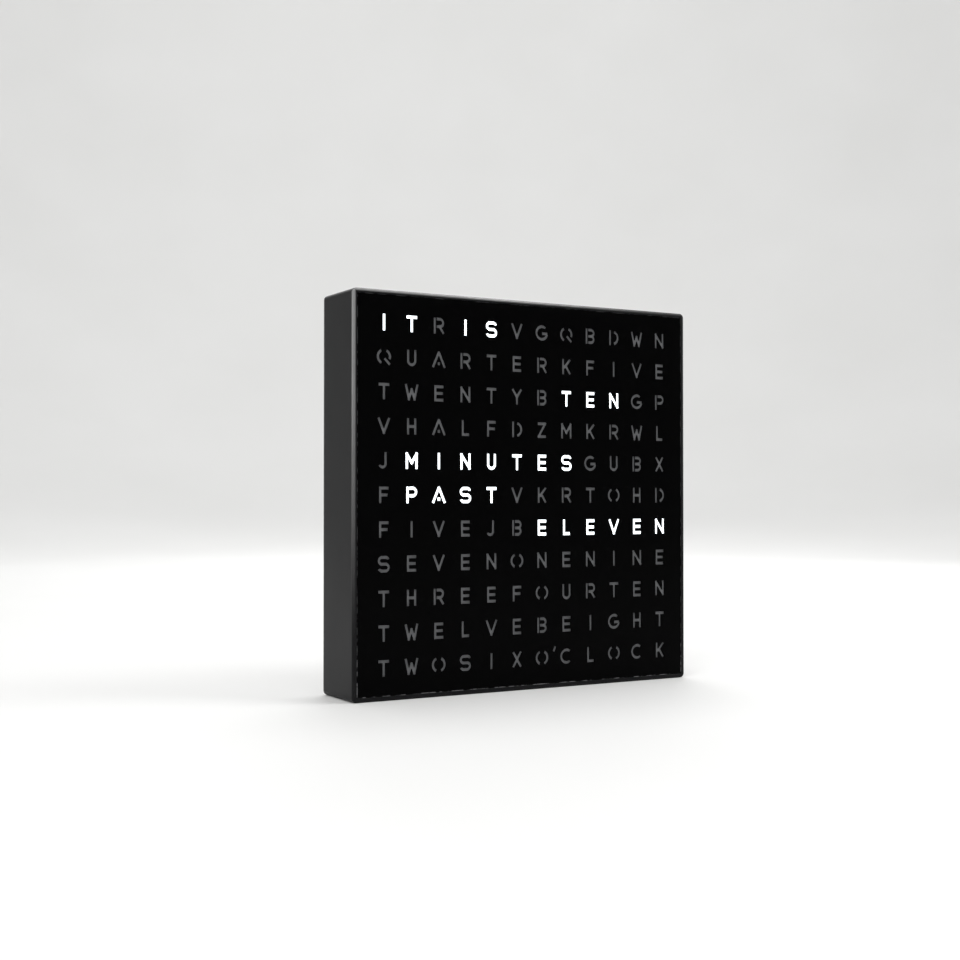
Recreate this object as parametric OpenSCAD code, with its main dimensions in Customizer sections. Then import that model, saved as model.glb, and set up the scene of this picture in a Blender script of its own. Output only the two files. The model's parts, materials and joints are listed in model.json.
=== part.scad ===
// Square word clock: a black case with a stencilled letter panel, lit from behind through a
// light grid. Origin at the centre of the bottom face, +Z up, the face looks along -Y.

/* [Case] */
// Width of the clock face
face_w = 180; // [176:1:220]
// Height of the clock face
face_h = 180; // [177:1:220]
// Depth of the clock from the front face to the rear face
case_d = 32; // [31:0.5:44]
// Thickness of the case walls and of the front rim
wall = 2; // [1.8:0.1:2.6]
// Radius of the case corners, seen from the front
corner_r = 2.2; // [1.6:0.1:4]
// Rounding of the front and rear edges
edge_r = 1; // [0.5:0.1:1.2]
// Width of the ledge that the letter panel is stuck to
ledge_w = 2; // [1.6:0.1:2.2]
// Thickness of that ledge
ledge_t = 1.4; // [1:0.1:2]

/* [Letter panel] */
// Number of letter columns
columns = 12; // [12:1:12]
// Distance from the side edges of the face to the letter field
side_margin = 8.28; // [7.5:0.01:10]
// Distance from the upper and lower edge of the face to the letter field
top_margin = 6.785; // [6.5:0.005:9]
// Height of the letters
letter_h = 7.3; // [6:0.1:8.5]
// Width of the letter strokes
stroke = 1.35; // [1:0.05:1.6]
// Thickness of the letter panel at its rim
panel_t = 1.8; // [1.6:0.1:2.4]
// Thickness of the panel where the letters are cut through it
skin_t = 0.6; // [0.4:0.1:0.8]
// Gap between the panel and the rim round it
panel_gap = 0.15; // [0.1:0.05:0.3]
// Thickness of the adhesive tape under the panel
tape_t = 0.3; // [0.2:0.1:0.5]

/* [Light grid and lamps] */
// Thickness of the cell walls
grid_wall = 1; // [0.8:0.1:1.4]
// Thickness of the circuit boards
board_t = 1.6; // [1:0.1:1.8]
// Side of each square lamp
lamp_w = 5; // [3:0.1:5.5]
// Height of each lamp above its board
lamp_h = 1.6; // [1:0.1:2]
// Depth of the screw ears of the light grid
ear_t = 3; // [2:0.1:4]
// Room between the lamp board and the floor of the battery bay
board_room = 2.8; // [2.4:0.1:3.4]

/* [Rear cover] */
// Thickness of the rear cover
cover_t = 2; // [1.8:0.1:2.4]
// Depth of the ring that centres the cover in the case
skirt_d = 2; // [1.5:0.1:3]
// Thickness of that ring
skirt_t = 1.2; // [1:0.1:1.6]
// Radius of the round end of the hanging holes
hang_r = 4.2; // [4:0.1:5]
// Width of the slot above each hanging hole
hang_slot = 4; // [3.5:0.1:4.4]
// Travel of a hanging screw up its slot
hang_rise = 8; // [6:0.5:10]
// Distance between the hanging holes
hang_pitch = 90; // [70:1:110]
// Distance of the hanging holes below the top of the clock
hang_down = 32; // [26:1:48]

/* [Battery bay] */
// Diameter of a battery cell
cell_d = 14.5; // [14.3:0.1:14.6]
// Length of a battery cell
cell_l = 50.5; // [50:0.1:51]
// Room at the spring end of each cell
spring_room = 6; // [5:0.5:7]
// Clearance round each cell
cell_gap = 0.4; // [0.3:0.05:0.6]
// Thickness of the bay walls, which also carry the door
bay_wall = 3; // [2.8:0.1:3.4]
// Thickness of the bay floor
bay_floor = 1.2; // [1:0.1:1.6]
// Height of the middle of the bay
bay_z = 46; // [44:1:60]
// Thickness of the battery door
door_t = 1.6; // [1.4:0.1:1.8]
// How far the door overlaps the bay walls
door_lap = 1.4; // [1.2:0.1:1.5]
// Gap between the door and the cover round it
door_gap = 0.25; // [0.2:0.05:0.35]
// Width of each hinge hook of the door
hook_w = 7; // [5:0.5:10]
// Width of the latch tab
tab_w = 12; // [10:0.5:16]

/* [Power switch] */
// Height of the switch pivot
rocker_z = 75.6; // [72:0.1:84]
// Length of each half of the rocker face
rocker_half = 9.7; // [8:0.1:10.5]
// Width of the rocker
rocker_w = 9; // [7:0.1:10]
// Tilt of the rocker between off and on
rocker_tilt = 12.9; // [10:0.1:14]
// Depth of the pivot under the middle of the rocker face
rocker_deep = 4; // [3.6:0.1:4.6]
// Radius of the pivot pin
pivot_r = 1.2; // [1:0.05:1.4]
// Depth of the switch body inside the case wall
switch_d = 15; // [13:0.5:17]

/* [Buttons and socket] */
// Radius of the set buttons
button_r = 3.5; // [3:0.1:4]
// Travel of the set buttons
button_travel = 1; // [0.6:0.1:1.2]
// Height of the hour button
hour_z = 52; // [50:0.5:54]
// Height of the minute button
minute_z = 36; // [34:0.5:38]
// Height of the power socket
socket_z = 26; // [25:0.5:28]
// Radial clearance of the button plungers in their switches
plunger_gap = 0.1; // [0.05:0.01:0.15]

/* [Hidden] */
$fn = 48;

// The letters, one string a row: words for the minutes above, for the hours below
letter_rows = [
  "ITRISVGQBDWN",
  "QUARTERKFIVE",
  "TWENTYBTENGP",
  "VHALFDZMKRWL",
  "JMINUTESGUBX",
  "FPASTVKRTOHD",
  "FIVEJBELEVEN",
  "SEVENONENINE",
  "THREEFOURTEN",
  "TWELVEBEIGHT",
  "TWOSIXOCLOCK"
];
rows = len(letter_rows);
// The mark in the last word stands between its first two letters
mark_column = 6;
mark_row = rows - 1;

// Planes from front to back
front_y = -case_d / 2;
back_y = case_d / 2;
seat_gap = 0.05;
door_in = 0.1;
bay_deep = cell_d + cell_gap;
bay_mouth = back_y - door_t - door_in;
bay_back = bay_mouth - bay_deep;
tape_y = front_y + panel_t;
ledge_y = tape_y + tape_t;
ledge_back = ledge_y + ledge_t;
diffuser_y = front_y + skin_t + seat_gap;
diffuser_t = panel_t - skin_t - 2 * seat_gap;
grid_y = front_y + panel_t;
grid_back = bay_back - bay_floor - board_room - board_t;
grid_d = grid_back - grid_y;
led_board_y = grid_back;
led_board_back = led_board_y + board_t;
cover_y = back_y - cover_t;

hang_z = face_h - hang_down;

// Case inside
inner_w = face_w - 2 * wall;
inner_h = face_h - 2 * wall;
mid_z = face_h / 2;
panel_w = inner_w - 2 * panel_gap;
panel_h = inner_h - 2 * panel_gap;
panel_r = 0.8;

// Letter field
grid_w = face_w - 2 * side_margin;
grid_h = face_h - 2 * top_margin;
pitch_x = grid_w / columns;
pitch_z = grid_h / rows;
field_margin = 1.5;
field_gap = 0.3;
field_w = grid_w + 2 * field_margin;
field_h = grid_h + 2 * field_margin;
arc_step = 22.5;

// Screws of the rear cover, in the case corners
cover_screw_r = 1.25;
cover_pilot_r = 1.05;
cover_boss_r = 2.7;
cover_boss_in = 2.4;
cover_boss_x = inner_w / 2 - cover_boss_in;
cover_boss_z = inner_h / 2 - cover_boss_in;
cover_boss_l = 14;
cover_head_r = 2.2;
cover_head_t = 1.1;
cover_screw_l = 8;

// Screws that hold the board and the light grid to the case
ear_in = 2.4;
ear_x = inner_w / 2 - ear_in;
ear_dz = 45;
ear_r = ear_in - 0.4;
ear_boss_r = 2.5;
board_screw_r = 1;
board_pilot_r = 0.85;
board_head_r = 1.8;
board_head_t = 1.2;
board_screw_l = grid_back - ledge_back + board_t - 0.4;
screw_gap = 0.2;
led_board_w = inner_w - 1;
led_board_h = inner_h - 1;
board_notch = cover_boss_in + cover_boss_r + 0.4;

// Battery bay in the rear cover: three cells lie across it, one above the other
cells = 3;
cell_pitch = cell_d + cell_gap;
plate_t = 0.4;
bay_l = cell_l + spring_room + 2 * plate_t + 0.6;
bay_h = cells * cell_pitch + cell_gap;
door_w = bay_l + 2 * door_lap;
door_h = bay_h + 2 * door_lap;
cell_y = bay_mouth - cell_gap / 2 - cell_d / 2;
cell_z = [for (i = [0 : cells - 1]) bay_z + (i - (cells - 1) / 2) * cell_pitch];
plate_w = 11;
plate_in = 0.1;
plate_gap = 0.3;
tail_w = 2.4;
tail_out = 2.5;
tail_y = cell_y - 4;

// Door hinge: round hooks reach behind the edge of the cover
lip_r = cover_t / 2;
hinge_y = back_y - lip_r;
hinge_z = bay_z - door_h / 2 - door_gap - lip_r;
hook_in = lip_r + 0.3;
hook_out = hook_in + 1;
hook_gap = 0.4;
slot_r = hook_out + 0.65;
lip_core_r = lip_r - 0.1;
lip_cut = 0.55;
hook_sweep = 100;
hook_x = bay_l / 2 - 9;
tab_t = 1.2;
tab_deep = 6;
tab_gap = 0.8;
tab_in = 0.1;
nose_r = 0.5;
thumb_r = 8;
thumb_deep = 1.2;

// Battery springs, cone-shaped coils of wire
spring_wire = 0.55;
spring_curls = 5;
spring_r0 = 4.4;
spring_r1 = 2.6;
spring_l = spring_room - plate_t;

// Power switch
wall_in = inner_w / 2;
rocker_in = 11.2;
rocker_y = back_y - rocker_in;
pivot_x = face_w / 2 - rocker_deep * cos(rocker_tilt / 2);
half_tilt = rocker_tilt / 2;
rocker_end_x = rocker_deep + rocker_half * sin(half_tilt);
rocker_end_z = rocker_half * cos(half_tilt);
rocker_end_r = norm([rocker_end_x, rocker_end_z]);
rocker_gap = 0.25;
pivot_gap = 0.05;
switch_wall = 1.5;
switch_half_w = rocker_w / 2 + rocker_gap + switch_wall;
switch_half_l = rocker_end_r + rocker_gap + switch_wall;
switch_x = wall_in - switch_d;
switch_floor = 6;
rocker_base = 2.6;
stem_r = 1.4;
terminal_w = 4.8;
terminal_t = 0.8;
terminal_l = 6.5;
terminal_pitch = 7;

// Control board behind the right side, with the set switches and the power socket
control_w = 36;
control_h = 40;
control_room = 8.4;
control_back = cover_y - control_room;
control_y = control_back - board_t;
control_x = wall_in - 0.6 - control_w / 2;
control_z = (hour_z + minute_z) / 2 - 4;
post_r = 2.5;
post_in = 3.2;
posts = [for (p = [[-1, 1], [-1, -1], [1, 0]])
  [control_x + p[0] * (control_w / 2 - post_in), control_z + p[1] * (control_h / 2 - post_in)]];
control_screw_l = 6;
button_x = control_x + 2.6;
switch_side = 6;
switch_h = 3.6;
plunger_r = 1.75;
plunger_up = 1.5;
plunger_top = control_back + switch_h + plunger_up;
button_gap = 0.2;
button_flange_r = button_r + 1.1;
button_flange_t = 1;
button_sink = 0.3;
button_stem_r = 2.2;
socket_w = 7.5;
socket_h = 2.9;
socket_l = 5.6;
socket_t = 0.35;
socket_gap = 0.5;
plug_w = 11.5;
plug_h = 7.5;
plug_deep = 1;
socket_y = control_back + socket_h / 2;

// Parts on the back of the lamp board: [x, z] of each, and their sizes
chips_down = 52;
clock_down = 74;
chips_in = 36;
supply_in = 30;
leg_pitch = 1.27;
leg_out = 0.9;
chip_h = 1.6;
driver_size = [15.4, 7.5];
driver_h = 2;
driver_legs = 12;
driver_pitch = 26;
drivers = 3;
driver_x = 6;
controller_size = [14, 9];
controller_legs = 10;
clock_size = [5, 4];
clock_legs = 4;
controller_at = [chips_in - wall_in, face_h - chips_down];
clock_at = [chips_in - wall_in, face_h - clock_down];
crystal_at = clock_at + [10, 0];
crystal_r = 1.5;
crystal_l = 6;
crystal_leg_l = 2.6;
crystal_leg_r = 0.2;
capacitor_w = 6.6;
capacitor_foot = 0.8;
capacitor_r = 3;
capacitor_l = 4.8;
capacitor_pitch = 10;
capacitors_at = [wall_in - supply_in, face_h - chips_down - 3];
resistor_size = [2, 0.55, 1.25];
resistor_pitch = 4;
resistors_at = clock_at + [22, 0];
header_at = [control_x - 8, control_z + 4];
header_pins_n = 6;
header_pitch = 2.54;
header_w = 2.5;
header_h = 2.5;
pin_w = 0.64;
pin_gap = 0.1;
header_gap = 0.15;

// ---------- shared shapes ----------

// A 2-D shape in the face's plane becomes a plate from y0 backwards
module plate(y0, t) {
  translate([0, y0 + t, 0])
    rotate([90, 0, 0])
      linear_extrude(height = t)
        children();
}

// Rectangle about (x, z)
module rect(x, z, w, h) {
  translate([x - w / 2, z - h / 2])
    square([w, h]);
}

// Rectangle with round corners
module round_rect(x, z, w, h, r) {
  rect(x, z, w - 2 * r, h);
  rect(x, z, w, h - 2 * r);
  for (sx = [-1, 1], sz = [-1, 1])
    translate([x + sx * (w / 2 - r), z + sz * (h / 2 - r)])
      circle(r);
}

// Slab of the case outline, y0 to y0 + t, with its edge at y0 rounded
module soft_slab(y0, t) {
  flat_w = face_w - 2 * corner_r;
  flat_h = face_h - 2 * corner_r;
  lap = 1.5 * edge_r;
  plate(y0 + edge_r, t - edge_r)
    round_rect(0, mid_z, face_w, face_h, corner_r);
  plate(y0, lap)
    rect(0, mid_z, flat_w, flat_h);
  for (side = [-1, 1]) {
    intersection() {
      translate([-flat_w / 2, y0 + edge_r, mid_z + side * (face_h / 2 - edge_r)])
        rotate([0, 90, 0])
          cylinder(h = flat_w, r = edge_r);
      block(0, y0, mid_z, face_w, lap, face_h);
    }
    intersection() {
      translate([side * (face_w / 2 - edge_r), y0 + edge_r, mid_z - flat_h / 2])
        cylinder(h = flat_h, r = edge_r);
      block(0, y0, mid_z, face_w, lap, face_h);
    }
    plate(y0, lap)
      rect(side * (flat_w / 2 + (corner_r - edge_r) / 2), mid_z, corner_r - edge_r, flat_h);
    plate(y0, lap)
      rect(0, mid_z + side * (flat_h / 2 + (corner_r - edge_r) / 2), flat_w, corner_r - edge_r);
    for (up = [-1, 1])
      translate([side * flat_w / 2, y0, mid_z + up * flat_h / 2])
        rotate([-90, 0, 0])
          corner_puck();
  }
}

// Corner of the slab: a short post with its lower rim rounded
module corner_puck() {
  rotate_extrude()
    intersection() {
      square([corner_r, 1.5 * edge_r]);
      union() {
        square([corner_r - edge_r, edge_r]);
        translate([corner_r - edge_r, edge_r])
          circle(edge_r);
        translate([0, edge_r])
          square([corner_r, edge_r]);
      }
    }
}

// Round hole or pin along Y, from y0 backwards
module along_y(x, z, y0, l, r) {
  translate([x, y0, z])
    rotate([-90, 0, 0])
      cylinder(h = l, r = r);
}

// Box given by its middle in x and z and its front in y
module block(x, y0, z, w, d, h) {
  translate([x - w / 2, y0, z - h / 2])
    cube([w, d, h]);
}

// Pan-head screw along Y: the head lies behind y_head, the shank runs to the front
module screw(x, z, y_head, l, r, head_r, head_t) {
  difference() {
    union() {
      along_y(x, z, y_head - l, l + head_t / 2, r);
      along_y(x, z, y_head, head_t, head_r);
    }
    block(x, y_head + head_t * 0.5, z, head_r * 1.2, head_t, 0.5);
    block(x, y_head + head_t * 0.5, z, 0.5, head_t, head_r * 1.2);
  }
}

// Tube of radius r with the given number of sides along the points of path
function unit(v) = v / norm(v);
function turn(path, i) =
  let (n = len(path))
  unit((i > 0 ? unit(path[i] - path[i - 1]) : [0, 0, 0])
    + (i < n - 1 ? unit(path[i + 1] - path[i]) : [0, 0, 0]));
function side_of(t, up) = unit(cross(t, up));
module tube(path, r, sides, up) {
  n = len(path);
  points = [for (i = [0 : n - 1])
    let (t = turn(path, i), a = side_of(t, up), b = cross(t, a))
    for (k = [0 : sides - 1])
      path[i] + r * (a * cos(360 * k / sides) + b * sin(360 * k / sides))];
  walls = [for (i = [0 : n - 2], k = [0 : sides - 1])
    let (k1 = (k + 1) % sides, p = i * sides)
    for (f = [[p + k, p + k1, p + sides + k], [p + k1, p + sides + k1, p + sides + k]]) f];
  first = [for (k = [1 : sides - 2]) [0, k + 1, k]];
  last = [for (k = [1 : sides - 2]) [(n - 1) * sides, (n - 1) * sides + k, (n - 1) * sides + k + 1]];
  polyhedron(points = points, faces = concat(walls, first, last));
}

// ---------- letters ----------

// Half width of a letter, as a share of the letter height
function half_of(c) =
  len(search(c, "I")) > 0 ? 0.1 :
  len(search(c, "LJ")) > 0 ? 0.28 :
  len(search(c, "EFHKXZU")) > 0 ? 0.335 :
  len(search(c, "PRDBNTY")) > 0 ? 0.375 :
  len(search(c, "VMS")) > 0 ? 0.42 : 0.47;

// Strokes of a letter. A straight one is [x0, y0, x1, y1], an arc [x, y, radius, from, to, 1]:
// x is a share of the half width, y and radius are shares of the half height
function bowl(y, r) = [[-0.3, y + r, 0.25, y + r], [0.25, y, r, -90, 90, 1], [0.25, y - r, -0.3, y - r]];
function strokes_of(c) =
  c == "A" ? [[-1, -1, -0.06, 1], [1, -1, 0.06, 1], [-0.05, -0.62, 0.05, -0.62]] :
  c == "B" ? concat([[-1, -1, -1, 1]], bowl(0.5, 0.5), bowl(-0.5, 0.5)) :
  c == "C" ? [[0, 0, 1, 48, 312, 1]] :
  c == "D" ? [[-1, -1, -1, 1], [-0.3, 0, 1, -78, 78, 1]] :
  c == "E" ? [[-1, -1, -1, 1], [-1, 1, 1, 1], [-1, 0, 0.85, 0], [-1, -1, 1, -1]] :
  c == "F" ? [[-1, -1, -1, 1], [-1, 1, 1, 1], [-1, 0, 0.75, 0]] :
  c == "G" ? [[0, 0, 1, 48, 348, 1], [0.2, -0.1, 0.92, -0.1]] :
  c == "H" ? [[-1, -1, -1, 1], [1, -1, 1, 1], [-1, 0, 1, 0]] :
  c == "I" ? [[0, -1, 0, 1]] :
  c == "J" ? [[0.6, -0.5, 0.6, 1], [-0.49, -0.5, 0.5, -160, 0, 1]] :
  c == "K" ? [[-1, -1, -1, 1], [-0.5, -0.05, 1, 1], [-0.15, 0.1, 1, -1]] :
  c == "L" ? [[-1, -1, -1, 1], [-1, -1, 1, -1]] :
  c == "M" ? [[-1, -1, -1, 1], [-1, 1, 0, -0.3], [0, -0.3, 1, 1], [1, 1, 1, -1]] :
  c == "N" ? [[-1, -1, -1, 1], [-1, 1, 1, -1], [1, -1, 1, 1]] :
  c == "O" ? [[0, 0, 1, 112, 248, 1], [0, 0, 1, -68, 68, 1]] :
  c == "P" ? concat([[-1, -1, -1, 1]], bowl(0.44, 0.56)) :
  c == "Q" ? [[0, 0, 1, 112, 248, 1], [0, 0, 1, -22, 68, 1], [0.25, -0.4, 0.9, -1]] :
  c == "R" ? concat([[-1, -1, -1, 1]], bowl(0.44, 0.56), [[0.2, -0.12, 1, -1]]) :
  c == "S" ? [[-0.38, 0.5, 0.5, 90, 270, 1], [-0.38, 1, 0.38, 1], [0.38, 0.5, 0.5, 20, 90, 1],
    [-0.38, 0, 0.38, 0], [0.38, -0.5, 0.5, -90, 90, 1], [-0.38, -1, 0.38, -1],
    [-0.38, -0.5, 0.5, 200, 270, 1]] :
  c == "T" ? [[-1, 1, 1, 1], [0, -1, 0, 1]] :
  c == "U" ? [[-1, -0.4, -1, 1], [1, -0.4, 1, 1], [0, -0.4, 0.6, 180, 360, 1]] :
  c == "V" ? [[-1, 1, 0, -1], [0, -1, 1, 1]] :
  c == "W" ? [[-1, 1, -0.5, -1], [-0.5, -1, 0, 0.4], [0, 0.4, 0.5, -1], [0.5, -1, 1, 1]] :
  c == "X" ? [[-1, -1, 1, 1], [-1, 1, 1, -1]] :
  c == "Y" ? [[-1, 1, 0, -0.05], [1, 1, 0, -0.05], [0, -1, 0, -0.05]] :
  [[-1, 1, 1, 1], [-1, -1, 1, 1], [-1, -1, 1, -1]];

// Straight stroke, half a stroke longer than its points at each end
module bar(p, q) {
  d = unit(q - p) * stroke / 2;
  n = [-d[1], d[0]];
  polygon([p - d - n, q + d - n, q + d + n, p - d + n]);
}

// Curved stroke: a stretch of a ring about p
module bend(p, r, a0, a1) {
  steps = ceil((a1 - a0) / arc_step);
  angles = [for (i = [0 : steps]) a0 + (a1 - a0) * i / steps];
  polygon(concat(
    [for (a = angles) p + (r + stroke / 2) * [cos(a), sin(a)]],
    [for (i = [steps : -1 : 0]) p + (r - stroke / 2) * [cos(angles[i]), sin(angles[i])]]
  ));
}

module letter(c) {
  a = half_of(c) * letter_h - stroke / 2;
  b = (letter_h - stroke) / 2;
  for (s = strokes_of(c))
    if (len(s) == 4)
      bar([s[0] * a, s[1] * b], [s[2] * a, s[3] * b]);
    else
      bend([s[0] * a, s[1] * b], s[2] * b, s[3], s[4]);
}

function column_x(i) = (i - (columns - 1) / 2) * pitch_x;
function row_z(j) = mid_z - (j - (rows - 1) / 2) * pitch_z;

module all_letters() {
  for (j = [0 : rows - 1], i = [0 : columns - 1])
    translate([column_x(i), row_z(j)])
      letter(letter_rows[j][i]);
  translate([column_x(mark_column) + pitch_x / 2, row_z(mark_row) + letter_h / 2])
    bar([-0.2, -0.5], [0.3, 0.6]);
}

// ---------- front: case, letter panel, diffuser, light grid ----------

module housing() color("#101012") {
  difference() {
    soft_slab(front_y, case_d - cover_t);
    plate(front_y - 1, ledge_y - front_y + 1)
      round_rect(0, mid_z, inner_w, inner_h, panel_r + panel_gap);
    plate(front_y, case_d)
      rect(0, mid_z, inner_w - 2 * ledge_w, inner_h - 2 * ledge_w);
    plate(ledge_back, case_d)
      rect(0, mid_z, inner_w, inner_h);
    // rocker opening
    block(face_w / 2, rocker_y - rocker_w / 2 - rocker_gap, rocker_z,
      4 * wall, rocker_w + 2 * rocker_gap, 2 * (rocker_end_r + rocker_gap));
    // power socket opening, and the shallow seat for a plug's grip
    block(face_w / 2, socket_y - socket_h / 2 - socket_gap, socket_z,
      4 * wall, socket_h + 2 * socket_gap, socket_w + 2 * socket_gap);
    block(face_w / 2, socket_y - plug_h / 2, socket_z, 2 * plug_deep, plug_h, plug_w);
  }
  // posts for the cover screws
  for (sx = [-1, 1], sz = [-1, 1])
    difference() {
      along_y(sx * cover_boss_x, mid_z + sz * cover_boss_z,
        cover_y - cover_boss_l, cover_boss_l - seat_gap, cover_boss_r);
      along_y(sx * cover_boss_x, mid_z + sz * cover_boss_z,
        cover_y - cover_screw_l - 1, cover_screw_l + 2, cover_pilot_r);
    }
  // posts under the ears of the light grid
  for (sx = [-1, 1], sz = [-1, 1])
    difference() {
      union() {
        along_y(sx * ear_x, mid_z + sz * ear_dz, ledge_y,
          grid_back - ear_t - ledge_y, ear_boss_r);
        block(sx * (ear_x + inner_w / 2 + wall / 2) / 2, ledge_y, mid_z + sz * ear_dz,
          inner_w / 2 + wall / 2 - ear_x, grid_back - ear_t - ledge_y, ear_boss_r);
      }
      along_y(sx * ear_x, mid_z + sz * ear_dz, ledge_back, grid_d, board_pilot_r);
    }
}

module front_panel() color("#050506") {
  plate(front_y, skin_t)
    difference() {
      round_rect(0, mid_z, panel_w, panel_h, panel_r);
      all_letters();
    }
  plate(front_y + skin_t, panel_t - skin_t)
    difference() {
      round_rect(0, mid_z, panel_w, panel_h, panel_r);
      rect(0, mid_z, field_w, field_h);
    }
}

module panel_tape() color("#d8d8d0")
  plate(tape_y, tape_t)
    difference() {
      rect(0, mid_z, panel_w - 0.6, panel_h - 0.6);
      rect(0, mid_z, inner_w - 2 * ledge_w + 0.2, inner_h - 2 * ledge_w + 0.2);
    }

module diffuser() color("#8c8f94")
  plate(diffuser_y, diffuser_t)
    rect(0, mid_z, field_w - 2 * field_gap, field_h - 2 * field_gap);

module light_grid() color("#f2f2ee") {
  difference() {
    union() {
      plate(grid_y, grid_d)
        rect(0, mid_z, grid_w + grid_wall, grid_h + grid_wall);
      for (sx = [-1, 1], sz = [-1, 1]) {
        along_y(sx * ear_x, mid_z + sz * ear_dz, grid_back - ear_t, ear_t, ear_r);
        block(sx * (ear_x + grid_w / 2) / 2, grid_back - ear_t, mid_z + sz * ear_dz,
          ear_x - grid_w / 2, ear_t, 1.6 * ear_r);
      }
    }
    plate(grid_y - 1, grid_d + 2)
      for (i = [0 : columns - 1], j = [0 : rows - 1])
        rect(column_x(i), row_z(j), pitch_x - grid_wall, pitch_z - grid_wall);
    for (sx = [-1, 1], sz = [-1, 1])
      along_y(sx * ear_x, mid_z + sz * ear_dz, grid_back - ear_t - 1, ear_t + 2,
        board_screw_r + screw_gap);
  }
}

// ---------- lamp board and the parts on it ----------

module led_board() color("#1f5c38")
  plate(led_board_y, board_t)
    difference() {
      rect(0, mid_z, led_board_w, led_board_h);
      for (sx = [-1, 1], sz = [-1, 1]) {
        rect(sx * inner_w / 2, mid_z + sz * inner_h / 2, 2 * board_notch, 2 * board_notch);
        translate([sx * ear_x, mid_z + sz * ear_dz])
          circle(board_screw_r + screw_gap);
      }
    }

module lamps() color("#f4f0dc")
  for (i = [0 : columns - 1], j = [0 : rows - 1])
    block(column_x(i), led_board_y - lamp_h, row_z(j), lamp_w, lamp_h, lamp_w);

module chip(at, size, t, legs) {
  y0 = led_board_back;
  block(at[0], y0 + 2 * seat_gap, at[1], size[0], t, size[1]);
  for (side = [-1, 1], k = [0 : legs - 1])
    block(at[0] + (k - (legs - 1) / 2) * leg_pitch, y0, at[1] + side * (size[1] + leg_out) / 2,
      leg_pitch * 0.4, t / 2, leg_out + 2 * seat_gap);
}

module controller_chip() color("#26272a")
  chip(controller_at, controller_size, chip_h, controller_legs);

module driver_chips() color("#26272a")
  for (i = [0 : drivers - 1])
    chip([driver_x + (i - 1) * driver_pitch, face_h - chips_down], driver_size, driver_h, driver_legs);

module clock_chip() color("#26272a")
  chip(clock_at, clock_size, chip_h, clock_legs);

module clock_crystal() color("silver") {
  y = led_board_back + crystal_r + seat_gap;
  translate([crystal_at[0], y, crystal_at[1] - crystal_l / 2])
    cylinder(h = crystal_l, r = crystal_r);
  for (side = [-1, 1])
    translate([crystal_at[0] + side * crystal_r / 3, y, crystal_at[1] - crystal_l / 2 - crystal_leg_l + seat_gap])
      cylinder(h = crystal_leg_l, r = crystal_leg_r);
}

module capacitors() color("#b9bcc2")
  for (i = [0, 1]) {
    z = capacitors_at[1] + (0.5 - i) * capacitor_pitch;
    block(capacitors_at[0], led_board_back, z, capacitor_w, capacitor_foot, capacitor_w);
    along_y(capacitors_at[0], z, led_board_back + capacitor_foot / 2, capacitor_l, capacitor_r);
  }

module chip_resistors() color("#3a3d42")
  for (i = [0 : 5], j = [0 : 1])
    block(resistors_at[0] + i * resistor_pitch, led_board_back, resistors_at[1] + j * resistor_pitch,
      resistor_size[0], resistor_size[1], resistor_size[2]);

// Pin header on the lamp board, and the socket of the control board that it stands in
function pin_x(k) = header_at[0] + (k - (header_pins_n - 1) / 2) * header_pitch;

module header_pins() color("#c9a24a") {
  block(header_at[0], led_board_back, header_at[1],
    header_pins_n * header_pitch, header_h, header_w);
  for (k = [0 : header_pins_n - 1])
    block(pin_x(k), led_board_back + header_h / 2, header_at[1],
      pin_w, control_y - led_board_back - header_h / 2 - 1, pin_w);
}

module header_socket() color("#1c1c1e")
  difference() {
    block(header_at[0], led_board_back + header_h + header_gap, header_at[1],
      header_pins_n * header_pitch, control_y - led_board_back - header_h - header_gap, header_w);
    for (k = [0 : header_pins_n - 1])
      block(pin_x(k), led_board_back, header_at[1],
        pin_w + 2 * pin_gap, control_y - led_board_back - 0.8, pin_w + 2 * pin_gap);
  }

module board_screws() color("silver")
  for (sx = [-1, 1], sz = [-1, 1])
    screw(sx * ear_x, mid_z + sz * ear_dz, led_board_back, board_screw_l,
      board_pilot_r - seat_gap, board_head_r, board_head_t);

// ---------- rear cover and battery bay ----------

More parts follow.
